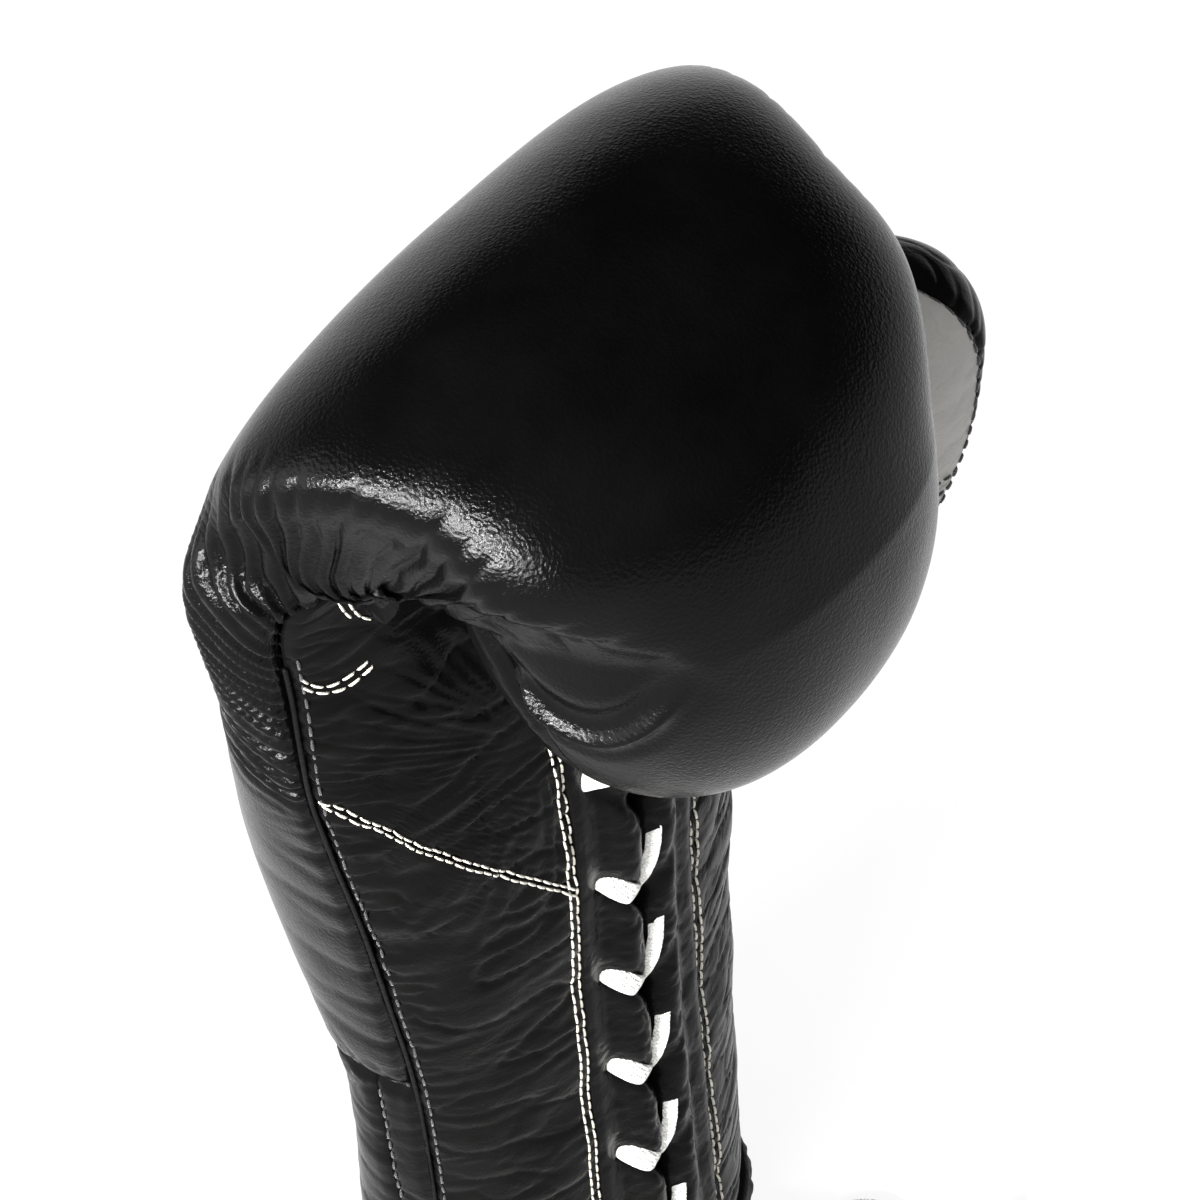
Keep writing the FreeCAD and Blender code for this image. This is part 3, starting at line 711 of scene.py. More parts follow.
class Panel:
    """A piece of leather between two edges of the form."""

    def __init__(self, low: Callable[[Array], Array], high: Callable[[Array], Array],
                 relief: Callable[["Panel", Array, Array, Array, Array], Array]) -> None:
        """Args: low, high: the edges' turns by travel. relief: its heights."""
        self.relief = relief
        travel = np.arange(0.0, FORM.end + 1.0, 1.0)
        fine = np.linspace(0, 1, 241)
        turns = low(travel)[:, None] * (1 - fine) + high(travel)[:, None] * fine
        points = FORM.point(travel[:, None], turns)
        steps = np.linalg.norm(np.diff(points, axis=1), axis=2) + 1e-7
        run = np.concatenate([np.zeros((len(travel), 1)), np.cumsum(steps, 1)], 1)
        self.width = run[:, -1]
        share = np.linspace(0, 1, 161)
        self.table = np.array([np.interp(share * r[-1], r, t) for r, t in zip(run, turns)])

    def wide(self, s: Array) -> Array:
        """The panel's width at s."""
        return np.interp(s, np.arange(len(self.width)), self.width)

    def turn(self, s: Array, v: Array) -> Array:
        """The turn at travel s and share v of the width."""
        s = np.clip(s, 0, len(self.table) - 1.001)
        column = np.clip(v, 0, 1) * 159.999
        i, j = s.astype(int), column.astype(int)
        a, b = s - i, column - j
        table = self.table
        return ((1 - a) * (1 - b) * table[i, j] + a * (1 - b) * table[i + 1, j]
                + (1 - a) * b * table[i, j + 1] + a * b * table[i + 1, j + 1])

    def surface(self, s: Array, v: Array, lift: float = 0.0, detail: bool = True) -> Array:
        """Points of the leather's face at s and v, raised by lift."""
        s, v = np.broadcast_arrays(np.asarray(s, float), np.asarray(v, float))
        u = self.turn(s, v)
        points = FORM.point(s, u)
        normal = FORM.normal(s, u)
        height = lift
        if detail:
            stretch = np.linalg.norm(FORM.point(s + 0.5, u) - FORM.point(s - 0.5, u), axis=-1)
            height = height + self.relief(self, s, v, points, stretch)
        return points + normal * np.asarray(height)[..., None]

    def piece(self, name: str, s: Array, v: Array, thickness: float = 1.4) -> bpy.types.Object:
        """The panel as a closed sheet of leather over a grid of places."""
        s, v = np.broadcast_arrays(np.asarray(s, float), np.asarray(v, float))
        return shell_object(name, self.surface(s, v), self.surface(s, v, -thickness))


def edge_shares(width: float, fine: float, coarse: float, reach_low: float,
                reach_high: float) -> Array:
    """Shares across a panel, close together near its edges.

    Args: width: the panel's width. fine, coarse: spacings. reach_low, reach_high: how
    far the fine spacing goes from each edge. Returns: rising shares from 0 to 1.
    """
    low = np.arange(0, reach_low, fine)
    high = width - np.arange(0, reach_high, fine)[::-1]
    count = max(3, int((high[0] - low[-1]) / coarse))
    middle = np.linspace(low[-1], high[0], count + 1)[1:-1]
    return np.concatenate([low, middle, high]) / width


def fingertip_lip(s: Array, points: Array) -> Array:
    """The rolled fold round the end of the fingers, with a hollow over it."""
    *_, turn, a, back, _ = FORM.at(s)
    y, z = FORM.at(s)[:2]
    along = ((points[..., 1] - y) * np.cos(turn) + (points[..., 2] - z) * np.sin(turn)) \
        / np.maximum(back, 0.1)
    line = 402.5 - 62.0 * (along - 0.27) ** 2
    here = smooth_step(-0.22, 0.02, along) * smooth_step(0.75, 0.5, along)
    here = here * smooth_step(-0.25, -0.5, points[..., 0] / np.maximum(a, 0.1))
    gap = s - line
    return here * (1.4 * bell(gap, 1.3) - 1.6 * bell(gap + 4.8, 3.2) - 0.8 * bell(gap - 3.6, 1.8))


def knuckle_relief(panel: Panel, s: Array, v: Array, points: Array, stretch: Array) -> Array:
    """Smooth pad, gathered where the seam loops round the curl."""
    wide = panel.wide(s)
    pinky, thumb = (1 - v) * wide, v * wide
    near = np.minimum(pinky, thumb)
    fade = smooth_step(0.0, 16.0, FORM.end - s)
    height = -1.9 * bell(near, 1.5) * fade
    wall = np.clip(near / WALL_REACH, 0, 1)
    height -= 4.2 * np.sin(np.pi * wall ** 1.1) ** 1.2 * smooth_step(252.0, 290.0, s) \
        * smooth_step(398.0, 372.0, s)
    height += fingertip_lip(s, points)
    height += PLEATS.relief(s, near, stretch) + FINE_PLEATS.relief(s, near, stretch)
    height += (SEAM_PUCKERS.relief(s, near, stretch) + SEAM_FOLDS.relief(s, near, stretch)) \
        * smooth_step(236.0, 215.0, s)
    height -= 1.7 * bell(s - CREASE, 1.6)
    height += Gathers(2.0, 240.0, 5.0, 0.7, 14.0, 1.3, 41, 0.3).relief(
        v * wide, s - CREASE, np.ones(s.shape)) * smooth_step(150.0, 118.0, s)
    height += 0.35 * SWELL(points / 34.0) + 0.10 * SWELL(points / 13.0)
    return height


def palm_relief(panel: Panel, s: Array, v: Array, points: Array, stretch: Array) -> Array:
    """Supple leather of the palm and the cuff's front, creased across."""
    wide = panel.wide(s)
    thumb_side = points[..., 0] > 0
    seam_way = np.where(thumb_side, 1 - v, v)
    seam, placket = seam_way * wide, (1 - seam_way) * wide
    fade = smooth_step(0.0, 14.0, FORM.end - s)
    height = -1.5 * bell(seam, 1.4) * fade - 0.45 * bell(placket, 1.3)
    height += SEAM_PUCKERS.relief(s, seam, stretch) + 0.6 * SEAM_FOLDS.relief(s, seam, stretch)
    height += 0.7 * FINE_GATHERS.relief(s, seam, stretch)
    height += EDGE_PUCKERS.relief(s, placket, stretch) * smooth_step(200.0, 180.0, s)
    heel = heel_line(np.clip(seam_way, 0, 1))
    height -= 0.4 * bell(s - heel, 0.55)
    height += 0.8 * SWELL(points / 21.0) + 0.25 * RIPPLE(points / 8.0)
    lively = 0.55 + 0.45 * smooth_step(95.0, 150.0, points[..., 2])
    calm = 0.25 + 0.75 * smooth_step(238.0, 205.0, s)
    height += creases(points, FOLDS, (0.034, 0.04, 0.10), 0.8) * lively * calm
    across, above = np.abs(points[..., 0]) - 20.0, points[..., 2] - 196.0
    away = np.hypot(across, above)
    angle = np.arctan2(above, across)
    rays = FOLDS(np.stack([angle * 9.5, away / 30.0, np.sign(points[..., 0]) * 3.0], -1))
    fan = smooth_step(3.0, 14.0, away) * smooth_step(58.0, 26.0, away)
    height -= 0.65 * np.exp(-np.abs(rays) / 0.2) * fan * smooth_step(236.0, 214.0, s)
    height += creases(points + 40.0, RIPPLE, (0.07, 0.07, 0.15), 0.22)
    return height * smooth_step(0.0, 3.0, FORM.end - s)


def centre_relief(panel: Panel, s: Array, v: Array, points: Array, stretch: Array) -> Array:
    """The palm's middle, from the top of the throat into the curl."""
    wide = panel.wide(s)
    near = np.minimum(v, 1 - v) * wide
    height = -0.45 * bell(near, 1.3) + 0.5 * SWELL(points / 18.0)
    height += creases(points, FOLDS, (0.05, 0.05, 0.12), 0.45)
    return height * smooth_step(0.0, 3.0, FORM.end - s)


def cuff_relief(panel: Panel, s: Array, v: Array, points: Array, stretch: Array) -> Array:
    """The back of the cuff, drawn in at the wrist crease."""
    wide = panel.wide(s)
    near = np.minimum(v, 1 - v) * wide
    height = -0.9 * bell(near, 1.2) - 1.7 * bell(s - CREASE, 1.6)
    height += 0.5 * SEAM_PUCKERS.relief(s, near, stretch)
    height += Gathers(2.0, 240.0, 5.0, 0.6, 16.0, 1.3, 43, 0.3).relief(
        v * wide, CREASE - s, np.ones(s.shape))
    height += 0.7 * SWELL(points / 24.0) + creases(points, FOLDS, (0.03, 0.03, 0.11), 0.4)
    return height


def gusset_edge(s: Array) -> Array:
    """The gusset's seam with the back of the cuff."""
    return FORM.turn_at_offset(np.asarray(s, float), np.full(np.shape(s), -1.0))


def mirrored(edge: Callable[[Array], Array]) -> Callable[[Array], Array]:
    """The same edge on the thumb's side, below a whole turn."""
    return lambda s: math.pi - edge(s)


KNUCKLES = Panel(mirrored(side_seam), side_seam, knuckle_relief)
CUFF_BACK = Panel(mirrored(gusset_edge), gusset_edge, cuff_relief)
GUSSETS = {Side.PINKY: Panel(gusset_edge, side_seam, cuff_relief),
           Side.THUMB: Panel(mirrored(side_seam), mirrored(gusset_edge), cuff_relief)}
FRONTS = {Side.PINKY: Panel(side_seam, lambda s: FORM.turn_at_x(s, -LINE_X), palm_relief),
          Side.THUMB: Panel(lambda s: FORM.turn_at_x(s, LINE_X), thumb_seam, palm_relief)}
CENTRE = Panel(lambda s: FORM.turn_at_x(s, -LINE_X), lambda s: FORM.turn_at_x(s, LINE_X),
               centre_relief)


# ---------------------------------------------------------------- stitching

@dataclass
class Stitches:
    """Lockstitches laid along lines, gathered into one piece."""

    length: float = 2.3
    gap: float = 0.5
    thickness: float = 0.54

    def __post_init__(self) -> None:
        """Starts with no stitches."""
        self.points: list[Array] = []
        self.faces: list[list[int]] = []
        self.count = 0

    def one(self, start: Array, stop: Array, up: Array) -> None:
        """A single stitch: a short, plump run of thread with its ends going down."""
        along = unit(stop - start)
        side = unit(np.cross(up, along))
        rows = ((0.0, -0.30, 0.45), (0.14, 0.30, 0.9), (0.5, 0.48, 1.0), (0.86, 0.30, 0.9),
                (1.0, -0.30, 0.45))
        half = self.thickness / 2
        base = self.count
        for share, rise, size in rows:
            middle = start * (1 - share) + stop * share + up * rise * half
            for corner in range(6):
                angle = math.pi / 3 * corner
                self.points.append(middle + size * half * (side * math.cos(angle)
                                                           + up * math.sin(angle)))
        for row in range(4):
            for corner in range(6):
                a, b = base + row * 6 + corner, base + row * 6 + (corner + 1) % 6
                self.faces.append([a, b, b + 6, a + 6])
        self.faces.append([base + c for c in range(6)][::-1])
        self.faces.append([base + 24 + c for c in range(6)])
        self.count += 30

    def line(self, points: Array, normals: Array) -> None:
        """Stitches along a line of close points."""
        run = run_along(points)
        pitch = self.length + self.gap
        for start in np.arange(0.3, run[-1] - self.length, pitch):
            ends = [np.array([np.interp(t, run, points[:, k]) for k in range(3)])
                    for t in (start, start + self.length)]
            up = unit(np.array([np.interp(start + self.length / 2, run, normals[:, k])
                                for k in range(3)]))
            self.one(ends[0], ends[1], up)

    def on(self, panel: Panel, s: Array, v: Array, lift: float = 0.12) -> None:
        """Stitches on a panel along places s and v."""
        s, v = np.broadcast_arrays(np.asarray(s, float), np.asarray(v, float))
        points = panel.surface(s, v, lift)
        self.line(points, FORM.normal(s, panel.turn(s, v)))

    def piece(self, name: str) -> bpy.types.Object:
        """All the stitches as one object."""
        return mesh_object(name, np.array(self.points), self.faces)


# ---------------------------------------------------------------- the hand

@dataclass
class Hand:
    """The leather hand and cuff."""

    finishes: Finishes
    rows_low: float = 1.25
    rows_high: float = 0.72
    fine: float = 0.78
    coarse: float = 2.0
    top: float = FORM.end - 0.02

    def travel(self, start: float) -> Array:
        """Rows of the hand from start to the fingertips, closer at the curl and the end."""
        low = np.arange(start, CURL_START, self.rows_low)
        high = np.arange(CURL_START, self.top - TIP_REACH, self.rows_high)
        close = self.top - TIP_REACH * (1 - np.linspace(0, 1, 46)) ** 1.8
        return np.concatenate([low, high, close])

    def build(self) -> list[bpy.types.Object]:
        """Builds and dresses the hand's leather."""
        made = [self.knuckle_shell(), self.cuff_back()]
        for side in Side:
            made += [self.gusset(side), *self.front(side)]
        made.append(self.palm_centre())
        return made

    def knuckle_shell(self) -> bpy.types.Object:
        """The one large piece over the back of the hand, the knuckles and the fingers."""
        shares = edge_shares(235.0, self.fine, self.coarse, 30.0, 36.0)
        rows = self.travel(CREASE)
        shell = KNUCKLES.piece("knuckle_leather", rows[:, None], shares[None])
        return dress(shell, self.finishes.knuckle,
                     ("knuckle_shell", "impact_foam", "comfort_foam", "back_pad"))

    def cuff_back(self) -> bpy.types.Object:
        """The back of the cuff, under the wrist crease."""
        shares = edge_shares(100.0, 1.0, 1.7, 14.0, 14.0)
        piece = CUFF_BACK.piece("cuff_back_leather", np.arange(RIM, CREASE + 0.4, 1.0)[:, None],
                                shares[None])
        return dress(piece, self.finishes.body,
                     ("cuff_back", "cuff_pad_back"))

    def gusset(self, side: Side) -> bpy.types.Object:
        """The narrow strip between the side seam and the cuff's back."""
        name = side.label
        rows = np.arange(RIM, CREASE + 0.4, 0.9)
        piece = GUSSETS[side].piece(f"gusset_leather_{name}", rows[:, None],
                                    np.linspace(0, 1, 13)[None])
        return dress(piece, self.finishes.body, (f"gusset_{name}_side",))

    def front(self, side: Side) -> list[bpy.types.Object]:
        """The palm's panel and the cuff's front panel on one side, split by the heel seam."""
        name = side.label
        panel = FRONTS[side]
        shares = edge_shares(52.0, 0.8, 1.0, 16.0, 8.0)
        if side is Side.THUMB:
            shares = 1 - shares[::-1]
        way = shares if side is Side.PINKY else 1 - shares
        heel = heel_line(way)
        down = np.linspace(0, 1, 260)[:, None]
        cuff = panel.piece(f"cuff_leather_{name}", RIM + (heel - RIM)[None] * down, shares[None])
        seen = np.linspace(0, 1, 170)[:, None]
        close = 1 - (1 - np.linspace(0, 1, 140)[1:, None]) ** 1.3
        rows = np.concatenate([heel[None] + (FOLD_START - heel)[None] * seen,
                               FOLD_START + (self.top - FOLD_START) * close + 0 * heel[None]])
        palm = panel.piece(f"palm_leather_{name}", rows, shares[None])
        more = ("palm_pad",) if side is Side.PINKY else ()
        return [dress(cuff, self.finishes.body,
                      (f"cuff_{name}_side", f"cuff_pad_{name}_side")),
                dress(palm, self.finishes.body,
                      (f"palm_{name}_side", *more))]

    def palm_centre(self) -> bpy.types.Object:
        """The middle of the palm over the throat, running up into the curl."""
        rows = np.concatenate([np.arange(184.0, 400.0, 1.0),
                               self.top - (self.top - 400.0) * (1 - np.linspace(0, 1, 30)) ** 1.6])
        piece = CENTRE.piece("palm_centre_leather", rows[:, None], np.linspace(0, 1, 33)[None])
        return dress(piece, self.finishes.body, ("palm_centre",))


@dataclass
class Sewing:
    """Every seam's thread on the hand."""

    finishes: Finishes
    spread: float = 0.9         # from a panel's edge to the first row
    between: float = 1.8        # from one row to the next

    def build(self) -> list[bpy.types.Object]:
        """Builds the pale topstitching and the black seam stitching."""
        pale, dark = Stitches(), Stitches(2.2, 1.1, 0.55)
        for side, panel in FRONTS.items():
            flip = side is Side.THUMB
            rows = np.arange(8.0, 232.0, 0.6)
            for away in (self.spread, self.spread + self.between):
                share = away / panel.wide(rows)
                pale.on(panel, rows, share if flip else 1 - share)
            shares = np.linspace(0.03, 0.985, 260)
            for offset in (-self.between / 2, self.between / 2):
                pale.on(panel, heel_line(shares) + offset, 1 - shares if flip else shares)
            seam = np.arange(12.0, 238.0, 0.5)
            share = 2.3 / panel.wide(seam)
            dark.on(panel, seam, 1 - share if flip else share)
            self.corner(pale, panel, flip)
        for side, panel in GUSSETS.items():
            rows = np.arange(12.0, CREASE - 2, 0.5)
            share = 1.4 / panel.wide(rows)
            dark.on(panel, rows, share if side is Side.PINKY else 1 - share)
        return [dress(pale.piece("topstitching"), self.finishes.thread),
                dress(dark.piece("seam_stitching"), self.finishes.black_thread)]

    def corner(self, stitches: Stitches, panel: Panel, flip: bool) -> None:
        """Two short double rows that hold the corner patch inside the curl."""
        ways = (((231, 0.045), (228.8, 0.08), (227.6, 0.14), (228, 0.23), (229.6, 0.33)),
                ((228.9, 0.045), (227.2, 0.09), (226.3, 0.15), (226.4, 0.23), (228, 0.33)),
                ((256, 0.13), (246, 0.21), (240.4, 0.265), (237.6, 0.315)),
                ((252.4, 0.2), (244, 0.26), (239, 0.31), (235.6, 0.38)))
        for way in ways:
            corners = np.array(way)
            knots = np.arange(len(corners), dtype=float)
            line = through(knots, corners, np.linspace(0, len(corners) - 1.001, 60))
            share = line[:, 1]
            stitches.on(panel, line[:, 0], 1 - share if flip else share)


# ---------------------------------------------------------------- throat and lace

LACE_FIRST, LACE_PITCH, LACE_ROWS = 19.0, 26.5, 7
HOLE_X = 10.0
FLAT = 0.7                  # squareness of the flat lace's section


def rows_of_lace() -> list[float]:
    """Heights of the lace rows, from the lowest."""
    return [LACE_FIRST + LACE_PITCH * row for row in range(LACE_ROWS)]


@dataclass
class Throat:
    """The two plackets and the tongue behind them."""

    finishes: Finishes
    bottom: float = 1.4
    top: float = 188.0
    profile: tuple = ((15.9, 0.15), (14.4, 0.35), (12.6, 0.2), (10.8, 0.1), (9.2, 0.9), (7.8, 2.3),
                      (6.0, 3.4), (4.2, 3.5), (2.6, 2.7), (1.0, 1.2), (0.1, -0.6), (0.3, -2.6),
                      (1.8, -4.0), (4.2, -4.4), (7.5, -3.6), (11.5, -2.9), (15.9, -2.2))
    pinched: tuple = ((15.9, 0.15), (14.4, 0.3), (12.8, -0.1), (11.3, -0.8), (9.8, -0.9),
                      (8.3, 0.0), (6.6, 0.9), (5.0, 1.1), (3.6, 0.5), (2.4, -0.5), (1.6, -1.5), (1.7, -2.6),
                      (2.8, -3.5), (5.0, -3.9), (8.0, -3.6), (11.5, -2.9), (15.9, -2.2))

    def build(self) -> list[bpy.types.Object]:
        """Builds and dresses the plackets and the tongue."""
        return [*map(self.placket, Side), self.tongue()]

    def pinch(self, x: Array, z: Array) -> Array:
        """How far the lace draws the placket in, from 0 to 1."""
        total = np.zeros(np.broadcast(x, z).shape)
        for row in rows_of_lace():
            total += np.exp(-np.abs((z - (row - 2.8 - (HOLE_X - x) * 1.17)) / 3.4) ** 2.2)
        return np.clip(total, 0, 1)

    def placket(self, side: Side) -> bpy.types.Object:
        """One placket: a folded edge rolled outwards, drawn in at every pass of the lace."""
        knots = np.linspace(0, 1, len(self.profile))
        share = np.linspace(0, 1, 58)
        open_form = through(knots, np.array(self.profile), share)
        tight_form = through(knots, np.array(self.pinched), share)
        z = np.arange(self.bottom, self.top, 0.8)[:, None]
        amount = self.pinch(open_form[None, :, 0], z)[..., None]
        amount = amount * (0.9 if side is Side.PINKY else 0.35)
        form = open_form[None] * (1 - amount) + tight_form[None] * amount
        x = form[..., 0] * side.value
        height = form[..., 1]
        base = FORM.y_at(x, np.broadcast_to(z, x.shape))
        points = np.stack([x, base - height, np.broadcast_to(z, x.shape)], -1)
        rolled = bell(form[..., 0] - 5.0, 6.0)
        wrinkle = creases(points, FOLDS, (0.12, 0.10, 0.30), 0.45) + 0.35 * SWELL(points / 7.0)
        points[..., 1] -= wrinkle * (0.35 + 0.65 * rolled)
        if side is Side.PINKY:
            points = points[:, ::-1]
        piece = sweep(f"placket_leather_{side.label}", points)
        return dress(piece, self.finishes.body,
                     (f"placket_{side.label}_side",))

    def tongue(self) -> bpy.types.Object:
        """The leather tongue behind the lace."""
        x = np.linspace(-20.0, 20.0, 41)[None]
        z = np.arange(12.0, 197.0, 1.2)[:, None]
        x, z = np.broadcast_arrays(x, z)
        depth = 7.6
        y = FORM.y_at(x, z) + depth
        face = np.stack([x, y, z], -1)
        face[..., 1] -= 0.5 * SWELL(face / 15.0) + creases(face, FOLDS, (0.07, 0.05, 0.15), 0.4)
        back = np.stack([x, y + 2.2, z], -1)
        return dress(shell_object("tongue_leather", face, back), self.finishes.body,
                     ("tongue",))


@dataclass
class Lacing:
    """The flat lace, from its top bar down to the knot."""

    finishes: Finishes
    width: float = 5.6
    thickness: float = 1.15

    def build(self) -> bpy.types.Object:
        """Builds and dresses the lace."""
        rows = rows_of_lace()
        strands = [self.bar(rows[-1])]
        for row in rows[1:-1]:
            strands += [self.strand(row, side) for side in Side]
        strands += [self.run_out(rows[0], side) for side in Side]
        return dress(joined("lace_cotton", strands), self.finishes.lace, ("lace",))

    def ribbon(self, route: Sequence[Sequence[float]], narrow: float = 1.0,
               face: Sequence[float] = (0.0, -1.0, 0.0), breadth: float = 1.0) -> bpy.types.Object:
        """A flat lace along a route of x, height over the palm and z.

        Args: route: its points. narrow: the width's share at its two ends.
        face: the way its flat side looks. breadth: how open it lies, 1 when flat.
        Returns: the object.
        """
        corners = np.array(route, float)
        corners[:, 1] = FORM.y_at(corners[:, 0], corners[:, 2]) - corners[:, 1]
        knots = run_along(corners)
        path = through(knots, corners, np.linspace(0, knots[-1], 46))
        ups = np.tile(np.array(face, float), (len(path), 1))
        rings = tube_grid(path, ups, oval(16, self.width / 2, self.thickness / 2, FLAT))
        share = np.linspace(0, 1, len(path))[:, None, None]
        size = breadth * (1 - (1 - narrow) * (1 - np.sin(np.pi * share) ** 0.5))
        middle = path[:, None]
        rings = middle + (rings - middle) * size
        rings[..., 1] -= 0.15 * RIPPLE(rings / 2.3)
        return sweep("strand", rings)

    def strand(self, z: float, side: Side) -> bpy.types.Object:
        """One pass: out of its hole, over its placket and down into the slot."""
        k = side.value
        if side is Side.PINKY:
            route = ((k * 10.6, -3.0, z - 0.4), (k * 9.8, -0.4, z - 2.2), (k * 8.4, 2.0, z - 4.4),
                     (k * 6.7, 3.0, z - 6.6), (k * 4.9, 2.8, z - 8.7), (k * 3.5, 1.2, z - 10.4),
                     (k * 2.7, -1.4, z - 11.6), (k * 2.2, -4.4, z - 12.6))
            return self.ribbon(route, 0.85, (-0.35, -1.0, 0.3), 0.74)
        route = ((k * 10.4, -2.6, z + 3.5), (k * 8.2, -1.2, z + 5.0), (k * 5.0, 0.2, z + 5.8),
                 (k * 2.5, 1.6, z + 3.0), (k * 0.9, 2.2, z - 2.4), (k * -0.8, 1.6, z - 7.8),
                 (k * -2.2, -0.4, z - 12.0), (k * -3.2, -3.2, z - 14.6))
        return self.ribbon(route, 0.3, (-0.8, -0.7, 0.3), 0.52)

    def bar(self, z: float) -> bpy.types.Object:
        """The top bar, straight across the plackets."""
        route = ((-12.4, -2.6, z + 0.6), (-11.6, 0.2, z), (-9.8, 1.7, z), (-6.0, 2.8, z - 0.4),
                 (-2.0, 2.2, z - 0.8), (2.0, 2.2, z - 0.8), (6.0, 2.8, z - 0.4), (9.8, 1.7, z),
                 (11.6, 0.2, z), (12.4, -2.6, z + 0.6))
        return self.ribbon(route, 0.8)

    def run_out(self, z: float, side: Side) -> bpy.types.Object:
        """The last pass, from the lowest hole to the knot."""
        k = side.value
        route = ((k * 11.2, -2.6, z + 2.0), (k * 10.2, -0.2, z + 0.6), (k * 8.4, 2.0, z - 0.4),
                 (k * 5.6, 3.6, z - 1.6), (k * 3.0, 4.4, z - 2.8), (k * 0.6, 4.6, z - 3.6))
        return self.ribbon(route, 0.75)


@dataclass
class Bow:
    """The knot, its two loops and its two tails, lying in front of the cuff."""

    finishes: Finishes
    knot_z: float = 15.0
    knot_y: float = -33.85
    width: float = 4.4
    thickness: float = 1.2
    loop: tuple = ((5.5, -1.5, 16.0), (13.0, -4.5, 15.5), (21.5, -8.5, 11.5), (30.0, -13.0, 6.5),
                   (37.0, -18.5, 2.8), (44.5, -19.0, 1.6), (46.5, -11.5, 1.5), (40.5, -5.5, 1.9),
                   (32.5, -4.6, 4.0), (22.5, -4.4, 7.5), (13.0, -3.2, 10.8), (5.5, -1.2, 12.6))
    tail: tuple = ((2.2, -3.4, 12.0), (4.2, -9.0, 9.0), (7.5, -15.5, 4.4), (12.0, -22.5, 1.7),
                   (18.5, -29.0, 1.5), (27.0, -33.5, 1.5), (36.0, -35.5, 1.6), (45.0, -34.5, 1.8))

    def route(self, points: Sequence[Sequence[float]], side: Side) -> Array:
        """A route's points in millimetres in the glove's frame."""
        return np.array([(side.value * x, self.knot_y + y, z) for x, y, z in points])

    def line(self, points: Array) -> Array:
        """Points along the smooth line that a route's points control, in millimetres."""
        curve = bpy.data.curves.new("route", "CURVE")
        curve.dimensions = "3D"
        curve.resolution_u = 10
        spline = curve.splines.new("NURBS")
        spline.points.add(len(points) - 1)
        for knot, point in zip(spline.points, points):
            knot.co = (*(point * MM), 1.0)
        spline.order_u = 3
        spline.use_endpoint_u = True
        carrier = bpy.data.objects.new("route", curve)
        bpy.context.scene.collection.objects.link(carrier)
        bpy.context.view_layer.update()
        mesh = bpy.data.meshes.new_from_object(carrier)
        places = np.array([v.co for v in mesh.vertices]) / MM
        bpy.data.objects.remove(carrier)
        bpy.data.meshes.remove(mesh)
        return places

    def ribbon(self, name: str, points: Array) -> tuple[bpy.types.Object, Array]:
        """A flat ribbon along a route, and the line it follows."""
        path = self.line(points)
        ups = np.tile([0.0, -0.35, 1.0], (len(path), 1))
        outline = oval(14, self.width / 2, self.thickness / 2, FLAT)
        return sweep(name, tube_grid(path, ups, outline)), path

    def build(self) -> list[bpy.types.Object]:
        """Builds and dresses the bow."""
        made = []
        for side in Side:
            name = side.label
            for kind, route, end in (("bow_loop", self.loop, "object"),
                                     ("lace_tail", self.tail, "fitting")):
                points = self.route(route, side)
                piece, path = self.ribbon(f"{kind}_cotton_{name}", points)
                dress(piece, self.finishes.lace, (f"{kind}_{name}_side",))
                tip = [self.aglet(side, points)] if kind == "lace_tail" else []
                made += [piece, *tip]
        made.append(self.knot())
        return made

    def aglet(self, side: Side, points: Array) -> bpy.types.Object:
        """The crimped tip at a tail's end."""
        name = side.label
        along = unit(points[-1] - points[-2])
        share = np.array([0.0, 0.03, 0.1, 0.16, 0.2, 0.3, 0.7, 0.8, 0.84, 0.9, 0.97, 1.0])
        size = np.array([0.86, 1.0, 1.0, 0.9, 1.0, 1.0, 1.0, 1.0, 0.9, 1.0, 0.98, 0.8])
        path = points[-1] + along * (share * 16.0)[:, None]
        up = np.cross(along, [0.0, 0.0, 1.0])
        rings = tube_grid(path, np.tile(np.cross(up, along), (len(path), 1)),
                          oval(24, 1.9, 1.9 * 0.82))
        rings = path[:, None] + (rings - path[:, None]) * size[:, None, None]
        piece = sweep(f"aglet_tip_{name}", rings)
        return dress(piece, self.finishes.aglet, (f"aglet_{name}_side",))

    def knot(self) -> bpy.types.Object:
        """The tied knot: the lace wrapped over itself three times."""
        centre = np.array([0.0, self.knot_y, self.knot_z])
        bands = []
        for turn, wide, size in ((0.0, 3.0, (4.6, 4.2, 4.9)), (1.05, 2.6, (6.4, 3.7, 4.6)),
                                 (-1.05, 2.6, (6.4, 3.7, 4.6)), (1.57, 3.2, (6.0, 2.9, 4.0))):
            angles = np.linspace(0, 2 * math.pi, 49)
            ring = np.stack([np.zeros(49), np.cos(angles) * size[1], np.sin(angles) * size[2]], -1)
            c, s = math.cos(turn), math.sin(turn)
            tilt = np.array([[c, 0, s], [0, 1, 0], [-s, 0, c]])
            path = ring @ tilt.T + centre
            ups = path - centre
            bands.append(sweep("band", tube_grid(path, ups, oval(14, wide, 0.8))))
        return dress(joined("knot_cotton", bands), self.finishes.lace,
                     ("bow_knot",))


# ---------------------------------------------------------------- rim, welts, patch, lining

